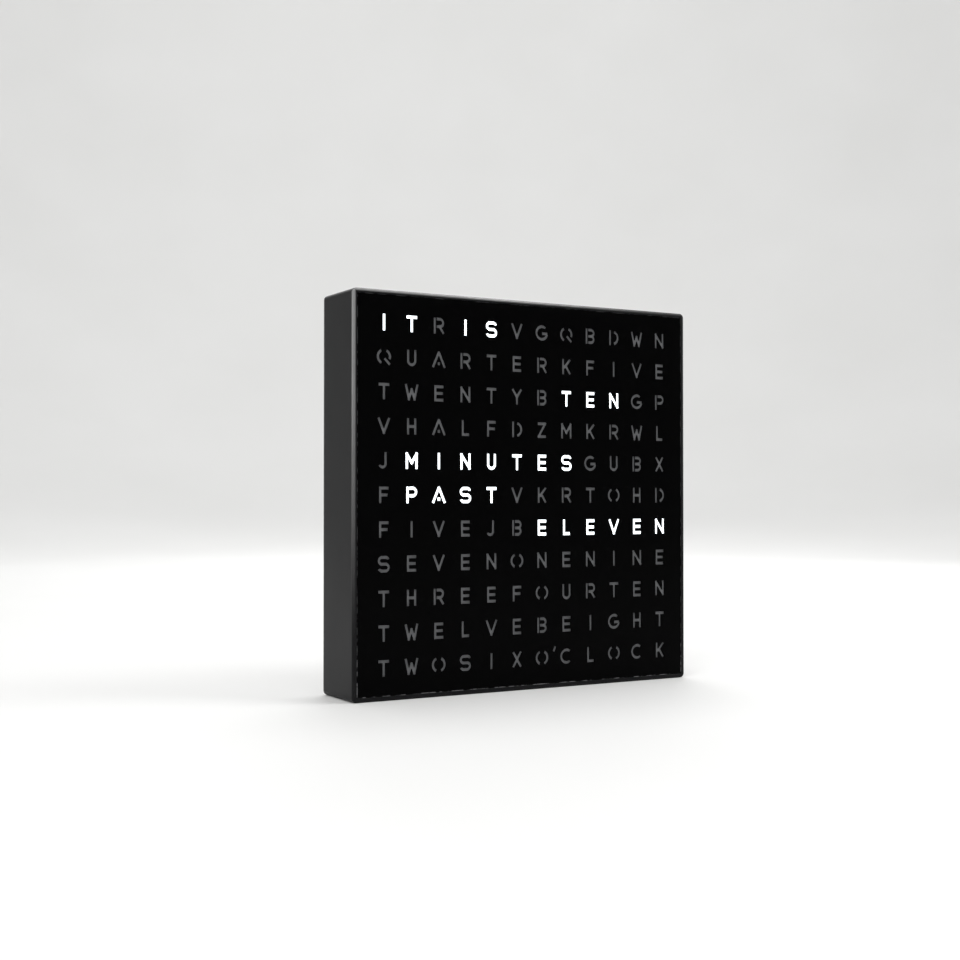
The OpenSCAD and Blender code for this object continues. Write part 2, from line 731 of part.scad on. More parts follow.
module rear_cover() color("#161618")
  difference() {
    union() {
      // plate with a rounded rear edge
      mirror([0, 1, 0])
        soft_slab(-back_y, cover_t);
      // centring ring
      difference() {
        plate(cover_y - skirt_d, skirt_d + seat_gap)
          rect(0, mid_z, inner_w - 2 * panel_gap, inner_h - 2 * panel_gap);
        plate(cover_y - skirt_d - 1, skirt_d + 1)
          rect(0, mid_z, inner_w - 2 * panel_gap - 2 * skirt_t, inner_h - 2 * panel_gap - 2 * skirt_t);
        for (sx = [-1, 1], sz = [-1, 1])
          block(sx * inner_w / 2, cover_y - skirt_d - 1, mid_z + sz * inner_h / 2,
            2 * board_notch, skirt_d + 1, 2 * board_notch);
        // room for the switch behind the right wall
        block(wall_in, cover_y - skirt_d - 1, rocker_z,
          4 * skirt_t, skirt_d + 1, 2 * switch_half_l + 1);
      }
      // battery tub
      block(0, bay_back - bay_floor, bay_z, bay_l + 2 * bay_wall,
        back_y - edge_r - bay_back + bay_floor, bay_h + 2 * bay_wall);
      // posts of the control board
      for (at = posts)
        along_y(at[0], at[1], control_back, cover_y - control_back + seat_gap, post_r);
    }
    // bay and the seat of the door
    block(0, bay_back, bay_z, bay_l, case_d, bay_h);
    block(0, bay_mouth, bay_z, door_w + 2 * door_gap, case_d, door_h + 2 * door_gap);
    // bevel of the lip that the door's edge turns past
    translate([-door_w / 2 - door_gap, hinge_y, hinge_z])
      rotate([90, 0, 90])
        linear_extrude(height = door_w + 2 * door_gap)
          polygon([
            [lip_r + 0.1, lip_r - lip_cut - 0.1],
            [lip_r + 0.1, lip_r + 0.1],
            [lip_r - lip_cut - 0.1, lip_r + 0.1]
          ]);
    // slots of the hinge hooks, round the lip of the cover
    for (side = [-1, 1])
      translate([side * hook_x - hook_w / 2 - hook_gap, hinge_y, hinge_z])
        rotate([0, 90, 0])
          difference() {
            cylinder(h = hook_w + 2 * hook_gap, r = slot_r);
            translate([0, 0, -1])
              cylinder(h = hook_w + 2 * hook_gap + 2, r = lip_core_r);
            translate([0, -lip_r, -1])
              cube([2 * hook_out, 4 * lip_r, hook_w + 2 * hook_gap + 2]);
            translate([-2 * hook_out, lip_r + 0.2, -1])
              cube([4 * hook_out, hook_out, hook_w + 2 * hook_gap + 2]);
          }
    // notch of the latch tab, and a scoop for a thumb
    block(0, bay_mouth - tab_deep - tab_gap, bay_z + bay_h / 2,
      tab_w + 2 * tab_gap, case_d, 2 * (door_lap + tab_gap));
    translate([0, back_y + thumb_r - thumb_deep, bay_z + door_h / 2])
      sphere(r = thumb_r);
    // slots for the tails of the outer contact plates
    for (side = [-1, 1])
      block(side * (bay_l / 2 + bay_wall / 2), tail_y - plate_gap, side > 0 ? cell_z[0] : cell_z[cells - 1],
        2 * bay_wall, plate_t + 2 * plate_gap, tail_w + 2 * plate_gap);
    // hanging holes
    for (side = [-1, 1]) {
      along_y(side * hang_pitch / 2, hang_z, cover_y - 1, cover_t + 2, hang_r);
      plate(cover_y - 1, cover_t + 2)
        union() {
          rect(side * hang_pitch / 2, hang_z + hang_rise / 2, hang_slot, hang_rise);
          translate([side * hang_pitch / 2, hang_z + hang_rise])
            circle(hang_slot / 2);
        }
    }
    // holes and head seats of the cover screws
    for (sx = [-1, 1], sz = [-1, 1]) {
      along_y(sx * cover_boss_x, mid_z + sz * cover_boss_z, cover_y - 1, cover_t + 2,
        cover_screw_r + screw_gap);
      along_y(sx * cover_boss_x, mid_z + sz * cover_boss_z, back_y - cover_head_t - 0.1,
        cover_t, cover_head_r + screw_gap);
    }
    // pilots in the posts of the control board
    for (at = posts)
      along_y(at[0], at[1], control_back - 1, control_screw_l + 1, board_pilot_r);
    // holes of the set buttons
    for (z = [hour_z, minute_z])
      along_y(button_x, z, cover_y - 1, cover_t + 2, button_r + button_gap);
  }

module cover_screws() color("#2b2c30")
  for (sx = [-1, 1], sz = [-1, 1])
    screw(sx * cover_boss_x, mid_z + sz * cover_boss_z, back_y - cover_head_t - 0.1,
      cover_screw_l, cover_pilot_r - seat_gap, cover_head_r, cover_head_t);

module battery_door() color("#161618")
  difference() {
    union() {
      block(0, bay_mouth + door_in, bay_z, door_w, door_t, door_h);
      // hinge hooks: quarter rings about the hinge line
      for (side = [-1, 1])
        translate([side * hook_x - hook_w / 2, hinge_y, hinge_z])
          rotate([0, 90, 0])
            rotate([0, 0, 180])
              rotate_extrude(angle = hook_sweep)
                translate([hook_in, 0])
                  square([hook_out - hook_in, hook_w]);
      // latch tab with its nose
      block(0, bay_mouth - tab_deep, bay_z + bay_h / 2 + tab_in + tab_t / 2,
        tab_w, tab_deep + door_in + door_t / 2, tab_t);
      translate([-tab_w / 2, bay_mouth - tab_deep * 0.7, bay_z + bay_h / 2 + tab_in + tab_t])
        rotate([0, 90, 0])
          cylinder(h = tab_w, r = nose_r);
    }
    // grip grooves by the latch
    for (i = [0 : 3])
      block(0, back_y - 0.4, bay_z + door_h / 2 - 5 - i * 2.4, 18, 1, 0.9);
  }

// Coil of the battery spring: a cone helix whose radius falls from the plate to the tip
function coil(turns, r0, r1, l) =
  let (n = 8 * turns)
  [for (i = [0 : n]) let (f = i / n, a = 360 * turns * f, r = r0 + (r1 - r0) * f)
    [spring_wire / 2 + (l - spring_wire) * f, r * cos(a), r * sin(a)]];

function least_gap(path, per_turn) =
  min([for (i = [0 : len(path) - per_turn - 1]) norm(path[i + per_turn] - path[i])]) - spring_wire;

spring_path = coil(spring_curls, spring_r0, spring_r1, spring_l);
echo("least gap between the spring's curls", least_gap(spring_path, 8));

// Springs sit at the left, right and left ends of the cells
function spring_side(i) = i % 2 == 0 ? -1 : 1;

module battery_springs() color("#c9cbd0")
  for (i = [0 : cells - 1])
    translate([spring_side(i) * (bay_l / 2 - plate_in - plate_t - seat_gap), cell_y, cell_z[i]])
      rotate([0, 0, spring_side(i) < 0 ? 0 : 180])
        tube(spring_path, spring_wire / 2, 6, [1, 0, 0]);

// Contact plates at both ends of the bay; two of them link neighbouring cells
module end_plate(side, z0, z1) {
  x = side * (bay_l / 2 - plate_in - plate_t / 2);
  block(x, cell_y - plate_w / 2, (z0 + z1) / 2, plate_t, plate_w, z1 - z0 + plate_w);
}

module plate_tail(side, z) {
  l = plate_in + plate_t + bay_wall + tail_out;
  block(side * (bay_l / 2 - plate_in - plate_t + l / 2), tail_y, z, l, plate_t, tail_w);
}

// A pressed bump meets the flat end of each cell's cap
module cap_bump(i) {
  side = -spring_side(i);
  translate([side * (bay_l / 2 - plate_in - plate_t), cell_y, cell_z[i]])
    rotate([0, -side * 90, 0])
      cylinder(h = 0.5, r1 = 2.6, r2 = 2);
}

module contact_plates() color("#c9cbd0") {
  end_plate(-1, cell_z[0], cell_z[1]);
  end_plate(-1, cell_z[2], cell_z[2]);
  end_plate(1, cell_z[0], cell_z[0]);
  end_plate(1, cell_z[1], cell_z[2]);
  plate_tail(-1, cell_z[2]);
  plate_tail(1, cell_z[0]);
  for (i = [0 : cells - 1])
    cap_bump(i);
}

// ---------- control board, power socket, set buttons ----------

module control_board() color("#1f5c38")
  plate(control_y, board_t)
    difference() {
      rect(control_x, control_z, control_w, control_h);
      for (at = posts)
        translate(at)
          circle(board_screw_r + screw_gap);
    }

module control_screws() color("silver")
  for (at = posts)
    mirror([0, 1, 0])
      screw(at[0], at[1], -control_y, control_screw_l, board_pilot_r - seat_gap,
        board_head_r, board_head_t);

module usb_socket() color("#c4c6ca")
  difference() {
    block(wall_in - 0.2 - socket_l / 2, control_back, socket_z, socket_l, socket_h, socket_w);
    block(wall_in + 0.3 - socket_l / 2, control_back + socket_t, socket_z,
      socket_l, socket_h - 2 * socket_t, socket_w - 2 * socket_t);
  }

module usb_tongue() color("#1c1c1e")
  block(wall_in + 0.3 - socket_l + (socket_l - 1.4) / 2, socket_y - 0.35, socket_z,
    socket_l - 1.4, 0.7, 3.6);

module set_switch(z) {
  difference() {
    block(button_x, control_back, z, switch_side, switch_h, switch_side);
    along_y(button_x, z, control_back + 0.5, switch_h, plunger_r + plunger_gap);
  }
}

module set_switches() color("#222326") {
  set_switch(hour_z);
  set_switch(minute_z);
}

module plunger(z)
  along_y(button_x, z, control_back + 0.5 + button_travel + 0.1,
    plunger_top - control_back - 0.6 - button_travel, plunger_r);

module hour_plunger() color("#e8e6df") plunger(hour_z);

module minute_plunger() color("#e8e6df") plunger(minute_z);

module set_button(z) {
  top = back_y - button_sink;
  flange_y = cover_y - button_gap - button_flange_t;
  difference() {
    union() {
      along_y(button_x, z, flange_y, top - flange_y, button_r);
      along_y(button_x, z, flange_y, button_flange_t, button_flange_r);
      along_y(button_x, z, plunger_top, flange_y - plunger_top + button_flange_t, button_stem_r);
    }
    // shallow dish for the fingertip
    translate([button_x, top + 3 * button_r - 0.4, z])
      sphere(r = 3 * button_r);
  }
}

module hour_button() color("#3c3e43") set_button(hour_z);

module minute_button() color("#3c3e43") set_button(minute_z);

// ---------- power switch ----------

// Open-topped body behind the right wall, with the pivot bores in its side walls
module switch_body() color("#1a1a1c")
  difference() {
    block(switch_x + switch_d / 2, rocker_y - switch_half_w, rocker_z,
      switch_d - seat_gap, 2 * switch_half_w, 2 * switch_half_l);
    block(switch_x + switch_floor + switch_d / 2, rocker_y - rocker_w / 2 - rocker_gap, rocker_z,
      switch_d, rocker_w + 2 * rocker_gap, 2 * (rocker_end_r + rocker_gap));
    along_y(pivot_x, rocker_z, rocker_y - switch_half_w - 1, 2 * switch_half_w + 2,
      pivot_r + pivot_gap);
  }

// Rocker, drawn level about its pivot and then tipped so that its lower half stands out
module switch_rocker() color("#0d0d0f")
  translate([pivot_x, rocker_y, rocker_z])
    rotate([0, -half_tilt, 0]) {
      translate([0, rocker_w / 2, 0])
        rotate([90, 0, 0])
          linear_extrude(height = rocker_w)
            intersection() {
              circle(rocker_end_r, $fn = 96);
              polygon([
                [rocker_deep, 0], [rocker_end_x, rocker_end_z], [-rocker_base, rocker_end_z],
                [-rocker_base, -rocker_end_z], [rocker_end_x, -rocker_end_z]
              ]);
            }
      translate([0, -switch_half_w, 0])
        rotate([-90, 0, 0])
          cylinder(h = 2 * switch_half_w, r = pivot_r);
    }

module switch_terminals() color("#c9a24a")
  for (i = [-1, 1])
    block(switch_x - terminal_l / 2, rocker_y - terminal_t / 2, rocker_z + i * terminal_pitch,
      terminal_l, terminal_t, terminal_w);

// ---------- wiring ----------

lead_r = 0.8;
lead_step = 3;
lead_gap = 0.1;
tail_end_x = bay_l / 2 + bay_wall + tail_out;
pad_y = control_y - lead_r;
pad_x = control_x - control_w / 2 + 2 * lead_step;
over_z = bay_z + bay_h / 2 + bay_wall + 5 / 3 * lead_step;
minus_path = [
  [tail_end_x + lead_gap, tail_y, cell_z[0]],
  [tail_end_x + lead_step, tail_y, cell_z[0]],
  [tail_end_x + 2 * lead_step, tail_y - 2 / 3 * lead_step, cell_z[0] + lead_step / 6],
  [tail_end_x + 3 * lead_step, pad_y - lead_step / 3, cell_z[0] + 2 / 3 * lead_step],
  [pad_x - lead_step, pad_y - 0.4 * lead_step, cell_z[0] + lead_step],
  [pad_x, pad_y - 0.2 * lead_step, cell_z[0] + 4 / 3 * lead_step]
];
plus_path = [
  [-tail_end_x - lead_gap, tail_y, cell_z[2]],
  [-tail_end_x - lead_step, tail_y, cell_z[2]],
  [-tail_end_x - 5 / 3 * lead_step, tail_y - lead_step / 3, cell_z[2] + lead_step],
  [-tail_end_x - 4 / 3 * lead_step, tail_y - 2 / 3 * lead_step, cell_z[2] + 3 * lead_step],
  [-tail_end_x, tail_y - lead_step, over_z - lead_step / 3],
  [-tail_end_x + 8 / 3 * lead_step, tail_y - lead_step, over_z],
  [0, tail_y - lead_step, over_z],
  [tail_end_x - 4 / 3 * lead_step, tail_y - lead_step, over_z],
  [tail_end_x + 4 / 3 * lead_step, tail_y - lead_step, over_z - 4 / 3 * lead_step],
  [tail_end_x + 3 * lead_step, pad_y - lead_step / 3, cell_z[1] + 8 / 3 * lead_step],
  [tail_end_x + 14 / 3 * lead_step, pad_y - 0.4 * lead_step, cell_z[1] + 4 / 3 * lead_step],
  [pad_x, pad_y - 0.2 * lead_step, cell_z[1] + lead_step]
];

module battery_leads() {
  color("#b01c1c") tube(plus_path, lead_r, 8, [0, 1, 0.3]);
  color("#1a1a1a") tube(minus_path, lead_r, 8, [0, 1, 0.3]);
}

module switch_lead(i) {
  x0 = switch_x - terminal_l - lead_gap;
  z0 = rocker_z + i * terminal_pitch;
  end_x = control_x - 4 / 3 * lead_step + i * lead_step;
  top_z = control_z + control_h / 2;
  tube([
    [x0, rocker_y, z0],
    [x0 - lead_step, rocker_y, z0],
    [x0 - 5 / 3 * lead_step, rocker_y, z0 - lead_step],
    [x0 - 5 / 3 * lead_step, rocker_y + 2 / 3 * lead_step, (z0 + top_z) / 2],
    [end_x, control_back + 4 / 3 * lead_step, top_z + lead_step],
    [end_x, control_back + lead_r + 13 / 15 * lead_step, top_z - lead_step / 3],
    [end_x, control_back + lead_r + 0.2 * lead_step, top_z - 4 / 3 * lead_step]
  ], lead_r, 8, [0, 1, 0.3]);
}

module switch_leads() color("#1a1a1a") {
  switch_lead(-1);
  switch_lead(1);
}

// ---------- assembly ----------

housing();
front_panel();
panel_tape();
diffuser();
light_grid();
led_board();
lamps();
controller_chip();
driver_chips();
clock_chip();
clock_crystal();
capacitors();
chip_resistors();
header_pins();
header_socket();
board_screws();
rear_cover();
cover_screws();
battery_door();
battery_springs();
contact_plates();
battery_leads();
control_board();
control_screws();
usb_socket();
usb_tongue();
set_switches();
hour_button();
hour_plunger();
minute_button();
minute_plunger();
switch_body();
switch_rocker();
switch_terminals();
switch_leads();
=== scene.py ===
import json
import math

import bmesh
import bpy
import numpy as np
from mathutils import Matrix, Vector

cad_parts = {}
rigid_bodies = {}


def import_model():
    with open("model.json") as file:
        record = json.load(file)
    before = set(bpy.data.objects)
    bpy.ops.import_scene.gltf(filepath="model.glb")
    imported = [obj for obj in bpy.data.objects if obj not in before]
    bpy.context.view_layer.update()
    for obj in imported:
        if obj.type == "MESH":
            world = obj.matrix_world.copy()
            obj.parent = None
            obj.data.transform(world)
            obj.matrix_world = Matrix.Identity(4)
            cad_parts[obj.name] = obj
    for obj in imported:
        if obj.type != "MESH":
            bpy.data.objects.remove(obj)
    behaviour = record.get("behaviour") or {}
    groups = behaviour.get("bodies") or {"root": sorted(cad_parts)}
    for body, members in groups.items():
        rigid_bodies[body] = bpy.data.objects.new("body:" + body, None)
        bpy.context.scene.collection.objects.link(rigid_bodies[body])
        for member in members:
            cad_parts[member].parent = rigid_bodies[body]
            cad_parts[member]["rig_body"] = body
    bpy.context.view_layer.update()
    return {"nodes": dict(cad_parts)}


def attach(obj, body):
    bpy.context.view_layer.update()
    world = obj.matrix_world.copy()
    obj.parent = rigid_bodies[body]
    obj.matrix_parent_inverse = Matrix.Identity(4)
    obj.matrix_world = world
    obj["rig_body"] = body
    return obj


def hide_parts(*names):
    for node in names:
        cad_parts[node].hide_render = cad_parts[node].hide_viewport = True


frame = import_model()
nodes = frame["nodes"]
shown = dict(nodes)  # each CAD node, or the piece that is seen in its place
mm = 0.001


def pieceFrom(name, mesh):
    # an object of a mesh, with its faces shaded smooth
    mesh.polygons.foreach_set("use_smooth", np.full(len(mesh.polygons), True))
    mesh.update()
    piece = bpy.data.objects.new(name, mesh)
    bpy.context.scene.collection.objects.link(piece)
    return piece


def newPiece(name, points, faces):
    # points is an array (n, 3) in metres, faces a list of index rows
    mesh = bpy.data.meshes.new(name)
    mesh.from_pydata(np.asarray(points, float).tolist(), [], faces)
    return pieceFrom(name, mesh)


def fitted(piece, body, node=None):
    # a new piece: faces turned outwards, its body, and the node it stands for
    made = bmesh.new()
    made.from_mesh(piece.data)
    bmesh.ops.recalc_face_normals(made, faces=made.faces)
    made.to_mesh(piece.data)
    made.free()
    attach(piece, body)
    if node:
        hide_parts(node)
    return piece


def gridFaces(rows, columns, closed=False):
    # quads between neighbouring rows and columns; a closed grid joins its last column to the first
    across = columns if closed else columns - 1
    r, c = np.meshgrid(np.arange(rows - 1), np.arange(across), indexing="ij")
    nextC = (c + 1) % columns
    low, high = r * columns, (r + 1) * columns
    return np.stack((low + c, low + nextC, high + nextC, high + c), -1).reshape(-1, 4).tolist()


def cappedGrid(rings):
    # rings is (rows, columns, 3): a closed grid with one face over its first ring and its last
    rows, columns = rings.shape[:2]
    last = (rows - 1) * columns
    ends = [list(range(columns))[::-1], list(range(last, last + columns))]
    return rings.reshape(-1, 3), gridFaces(rows, columns, closed=True) + ends


def smoothRoute(points, steps):
    # Catmull-Rom curve: each span is the cubic that leaves its ends along their neighbours' chords
    p = np.asarray(points, float)
    p = np.vstack([2 * p[0] - p[1], p, 2 * p[-1] - p[-2]])
    t = np.linspace(0, 1, steps, endpoint=False)[None, :, None]
    a, b, c, d = (p[i:len(p) - 3 + i, None, :] for i in range(4))
    squared = (2 * a - 5 * b + 4 * c - d) * t ** 2
    cubed = (3 * b - a - 3 * c + d) * t ** 3
    spans = 0.5 * (2 * b + (c - a) * t + squared + cubed)
    return np.vstack([spans.reshape(-1, 3), p[-2]])


def tubeAlong(path, radius, sides, up):
    # ring at each path point: centre + radius * (side * cos(angle) + over * sin(angle));
    # up is a direction that the path never runs in
    along = np.gradient(path, axis=0)
    along /= np.linalg.norm(along, axis=1, keepdims=True)
    side = np.cross(along, up)
    side /= np.linalg.norm(side, axis=1, keepdims=True)
    over = np.cross(side, along)
    angle = np.linspace(0, 2 * np.pi, sides, endpoint=False)[None, :, None]
    size = np.asarray(radius, float)[:, None, None]
    ring = side[:, None] * np.cos(angle) + over[:, None] * np.sin(angle)
    return cappedGrid(path[:, None] + size * ring)


def joined(parts):
    # several (points, faces) pairs as one, with the face numbers moved on
    points, faces, start = [], [], 0
    for partPoints, partFaces in parts:
        points.append(partPoints)
        faces += [[i + start for i in face] for face in partFaces]
        start += len(partPoints)
    return np.vstack(points), faces


softSetup = {
    # points nearer than merge are one, faces within the flat angle are one, edges past the sharp
    # angle are rounded, and weight is how far large faces turn the normals at their edges
    "merge": 0.002 * mm, "flat": math.radians(0.5), "sharp": math.radians(35), "weight": 100,
}
roundedEdges = {
    # CAD node: name of the rounded piece, finish slot, width of the rounding in mm, its segments
    "housing": ("case_shell", "case_plastic", 0.12, 2),
    "rear_cover": ("rear_cover_shell", "cover_plastic", 0.2, 2),
    "battery_door": ("battery_door_shell", "cover_plastic", 0.2, 2),
    "switch_rocker": ("side_rocker", "rocker_black", 0.3, 3),
    "hour_button": ("hour_cap", "button_grey", 0.25, 3),
    "minute_button": ("minute_cap", "button_grey", 0.25, 3),
    "hour_plunger": ("hour_stem", "plunger_white", 0.15, 2),
    "minute_plunger": ("minute_stem", "plunger_white", 0.15, 2),
    "switch_body": ("switch_case", "switch_black", 0.2, 2),
    "switch_terminals": ("switch_tabs", "pin_brass", 0.12, 2),
    "board_screws": ("board_screw_set", "screw_steel", 0.08, 2),
    "control_screws": ("control_screw_set", "screw_steel", 0.08, 2),
    "cover_screws": ("cover_screw_set", "screw_black", 0.12, 2),
    "contact_plates": ("contact_plate_set", "spring_steel", 0.08, 2),
    "usb_socket": ("usb_shell", "can_metal", 0.08, 2),
    "usb_tongue": ("usb_contact_tongue", "chip_black", 0.1, 2),
    "set_switches": ("tact_switch_pair", "chip_black", 0.08, 2),
    "lamps": ("lamp_array", "lamp", 0.15, 2),
    "chip_resistors": ("resistor_row", "chip_black", 0.06, 2),
    "header_socket": ("socket_strip", "chip_black", 0.12, 2),
    "header_pins": ("pin_strip", "pin_brass", 0.06, 2),
    "light_grid": ("cell_grid", "grid_white", 0.12, 1),
    "diffuser": ("diffuser_sheet", "diffuser", 0.1, 2),
    "panel_tape": ("tape_ring", "tape", 0.05, 2),
}


def softened(node, name, slotName, width, segments):
    # a merged copy of a CAD node whose sharp edges are rounded by a bevel; it stands for the node
    s = softSetup
    made = bmesh.new()
    made.from_mesh(nodes[node].data)
    bmesh.ops.remove_doubles(made, verts=made.verts, dist=s["merge"])
    bmesh.ops.dissolve_limit(made, angle_limit=s["flat"], verts=made.verts, edges=made.edges)
    mesh = bpy.data.meshes.new(name)
    made.to_mesh(mesh)
    made.free()
    piece = pieceFrom(name, mesh)
    mesh.set_sharp_from_angle(angle=s["sharp"])
    bevel = piece.modifiers.new("roundedEdges", "BEVEL")
    bevel.width, bevel.segments = width * mm, segments
    bevel.limit_method, bevel.angle_limit = "ANGLE", s["sharp"]
    level = piece.modifiers.new("levelFaces", "WEIGHTED_NORMAL")  # large flat faces stay flat
    level.weight, level.keep_sharp = s["weight"], True
    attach(piece, nodes[node]["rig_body"])
    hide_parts(node)
    shown[node] = piece


for node, how in roundedEdges.items():
    softened(node, *how)
print("rounded edges:", len(roundedEdges), "pieces")


class Wire:  # the output of a shader node, used like a number
    def __init__(self, finish, socket):
        self.finish, self.socket = finish, socket

    def maths(self, operation, *terms):
        settings = {"operation": operation}
        return self.finish.add("ShaderNodeMath", settings, dict(enumerate(terms)))

    def __add__(self, other): return self.maths("ADD", self, other)
    def __radd__(self, other): return self.maths("ADD", other, self)
    def __sub__(self, other): return self.maths("SUBTRACT", self, other)
    def __rsub__(self, other): return self.maths("SUBTRACT", other, self)
    def __mul__(self, other): return self.maths("MULTIPLY", self, other)
    def __rmul__(self, other): return self.maths("MULTIPLY", other, self)
    def __truediv__(self, other): return self.maths("DIVIDE", self, other)
    def __rtruediv__(self, other): return self.maths("DIVIDE", other, self)
    def __mod__(self, other): return self.maths("FLOORED_MODULO", self, other)
    def __gt__(self, other): return self.maths("GREATER_THAN", self, other)
    def __lt__(self, other): return self.maths("LESS_THAN", self, other)
    def __abs__(self): return self.maths("ABSOLUTE", self)
    def most(self, other): return self.maths("MAXIMUM", self, other)


class Finish:  # one material: the nodes that vary it and the shader they feed
    def __init__(self, name):
        self.material = bpy.data.materials.new(name)
        self.material.use_nodes = True
        self.tree = self.material.node_tree
        self.shader = self.tree.nodes["Principled BSDF"]
        self.spot = self.add("ShaderNodeTexCoord", {}, {}, "Object")
        split = self.add("ShaderNodeSeparateXYZ", {}, {"Vector": self.spot}, "X").socket.node
        self.x, self.y, self.z = (Wire(self, split.outputs[axis]) for axis in "XYZ")

    def put(self, socket, value):
        if isinstance(value, Wire):
            self.tree.links.new(value.socket, socket)
        elif isinstance(value, tuple) and len(value) == 3 and len(socket.default_value) == 4:
            socket.default_value = (*value, 1)
        else:
            socket.default_value = value

    def add(self, kind, settings, inputs, output=0):
        made = self.tree.nodes.new(kind)
        for key, value in settings.items():
            setattr(made, key, value)
        for key, value in inputs.items():
            self.put(made.inputs[key], value)
        return Wire(self, made.outputs[output])

    def noise(self, scale, detail=3.0, rough=0.5, spot=None):
        return self.add("ShaderNodeTexNoise", {}, {
            "Vector": spot or self.spot, "Scale": scale, "Detail": detail, "Roughness": rough})

    def stretched(self, scale, turn=(0.0, 0.0, 0.0)):
        # the place on the object, stretched along its axes so that a noise becomes streaks
        return self.add("ShaderNodeMapping", {}, {
            "Vector": self.spot, "Rotation": turn, "Scale": scale})

    def soft(self, value, low, high):  # 0 below low, 1 above high, a smooth step between
        return self.add("ShaderNodeMapRange", {"interpolation_type": "SMOOTHSTEP"}, {
            "Value": value, "From Min": low, "From Max": high})

    def between(self, value, low, high):  # 1 inside the interval, 0 outside
        return (value > low) * (value < high)

    def fromMiddle(self, value, step):  # signed distance to the middle of the value's step
        return (value / step % 1 - 0.5) * step

    def blend(self, share, first, second):  # colours
        sockets = {0: share, 6: first, 7: second}  # the numbers of a Mix node's colour sockets
        return self.add("ShaderNodeMix", {"data_type": "RGBA"}, sockets, 2)

    def bump(self, height, distance, strength=0.5):
        return self.add("ShaderNodeBump", {}, {
            "Height": height, "Distance": distance, "Strength": strength})

    def done(self, sockets):
        for name, value in sockets.items():
            self.put(self.shader.inputs[name], value)
        return self.material


def shaded(colour, factor, lift=0.0):
    # each channel times the factor, plus the lift
    return tuple(c * factor + lift for c in colour)


def dress(material, *pieces):
    for piece in pieces:
        mesh = (shown[piece] if isinstance(piece, str) else piece).data
        mesh.materials.clear()
        mesh.materials.append(material)


cameraSetup = {
    "lens": 52.42, "frame": 36,             # mm
    "turn": (-0.84, -29.86, 0.42),          # degrees about the picture's right, down and forward
    "faceAt": (0.02312, 0.00699, 0.6477),   # the middle of the face, from the camera, in metres
    "faceMiddle": (0.0, -0.016, 0.09),
    "clip": (0.01, 20),
}


def turned(axis, degrees):
    return np.array(Matrix.Rotation(math.radians(degrees), 3, axis))


def makeCamera(s):
    # picture axes = Rz * Ry * Rx * (right, down, forward of a frontal view)
    # camera = middle of the face - transposed axes * faceAt
    frontal = np.array([[1, 0, 0], [0, 0, -1], [0, 1, 0]], float)
    overRight, overDown, overForward = s["turn"]
    axes = turned("Z", overForward) @ turned("Y", overDown) @ turned("X", overRight) @ frontal
    at = np.array(s["faceMiddle"]) - axes.T @ np.array(s["faceAt"])
    data = bpy.data.cameras.new("camera")
    data.lens, data.sensor_width = s["lens"], s["frame"]
    data.clip_start, data.clip_end = s["clip"]
    camera = bpy.data.objects.new("camera", data)
    turn = Matrix(np.stack([axes[0], -axes[1], -axes[2]], 1).tolist()).to_4x4()
    camera.matrix_world = Matrix.Translation(Vector(at)) @ turn
    bpy.context.scene.collection.objects.link(camera)
    bpy.context.scene.camera = camera


lightSetup = {
    "key": {"at": (-0.95, -0.75, 1.25), "aim": (0, 0, 0.08), "size": 0.7, "power": 7},
    "top": {"at": (0.1, 0.3, 1.6), "aim": (0, 0, 0.08), "size": 1.1, "power": 5},
    "ridge": {"at": (0.75, -0.55, 1.05), "aim": (0, 0, 0.18), "size": 0.6, "power": 6},
    "left": {"at": (-1.25, -0.05, 0.35), "aim": (0, 0, 0.1), "size": 0.5, "power": 1.6},
    "right": {"at": (1.25, 0.15, 0.4), "aim": (0, 0, 0.1), "size": 0.5, "power": 2},
    "rear": {"at": (0.7, 1.2, 0.9), "aim": (0, 0, 0.08), "size": 0.9, "power": 5},
    "wall": {"at": (0.5, 1.0, 2.3), "aim": (1.7, 3.0, 0.5), "size": 1.4, "power": 22},
    "otherWall": {"at": (-0.5, -1.0, 2.3), "aim": (-1.7, -3.0, 0.5), "size": 1.4, "power": 16},
}
worldGrey = 0.45


def makeLights(setup):
    for name, s in setup.items():
        data = bpy.data.lights.new(name, "AREA")
        data.size, data.energy = s["size"], s["power"]
        lamp = bpy.data.objects.new(name, data)
        lamp.location = s["at"]
        aim = Vector(s["aim"]) - Vector(s["at"])
        lamp.rotation_euler = aim.to_track_quat("-Z", "Y").to_euler()
        bpy.context.scene.collection.objects.link(lamp)
    world = bpy.data.worlds.new("studio")
    world.use_nodes = True
    sky = world.node_tree.nodes["Background"].inputs["Color"]
    sky.default_value = (worldGrey, worldGrey, worldGrey, 1)
    bpy.context.scene.world = world
    bpy.context.scene.view_settings.view_transform = "Standard"


stageSetup = {
    "flat": 1.5, "bend": 2.0, "height": 2.4,  # metres: radii of the flat floor and of its bend, rim
    "rings": (0.0, 0.3, 0.7),                 # rings of points in the flat floor, as shares of it
    "rise": 25, "sides": 96,                  # points up the bend, and round the dish
    "paper": ((0.80, 0.80, 0.79), (0.86, 0.86, 0.855)), "mottle": 3.0, "roughness": 0.75,
    "fibre": 900.0, "fibreDepth": 0.04 * mm,
}


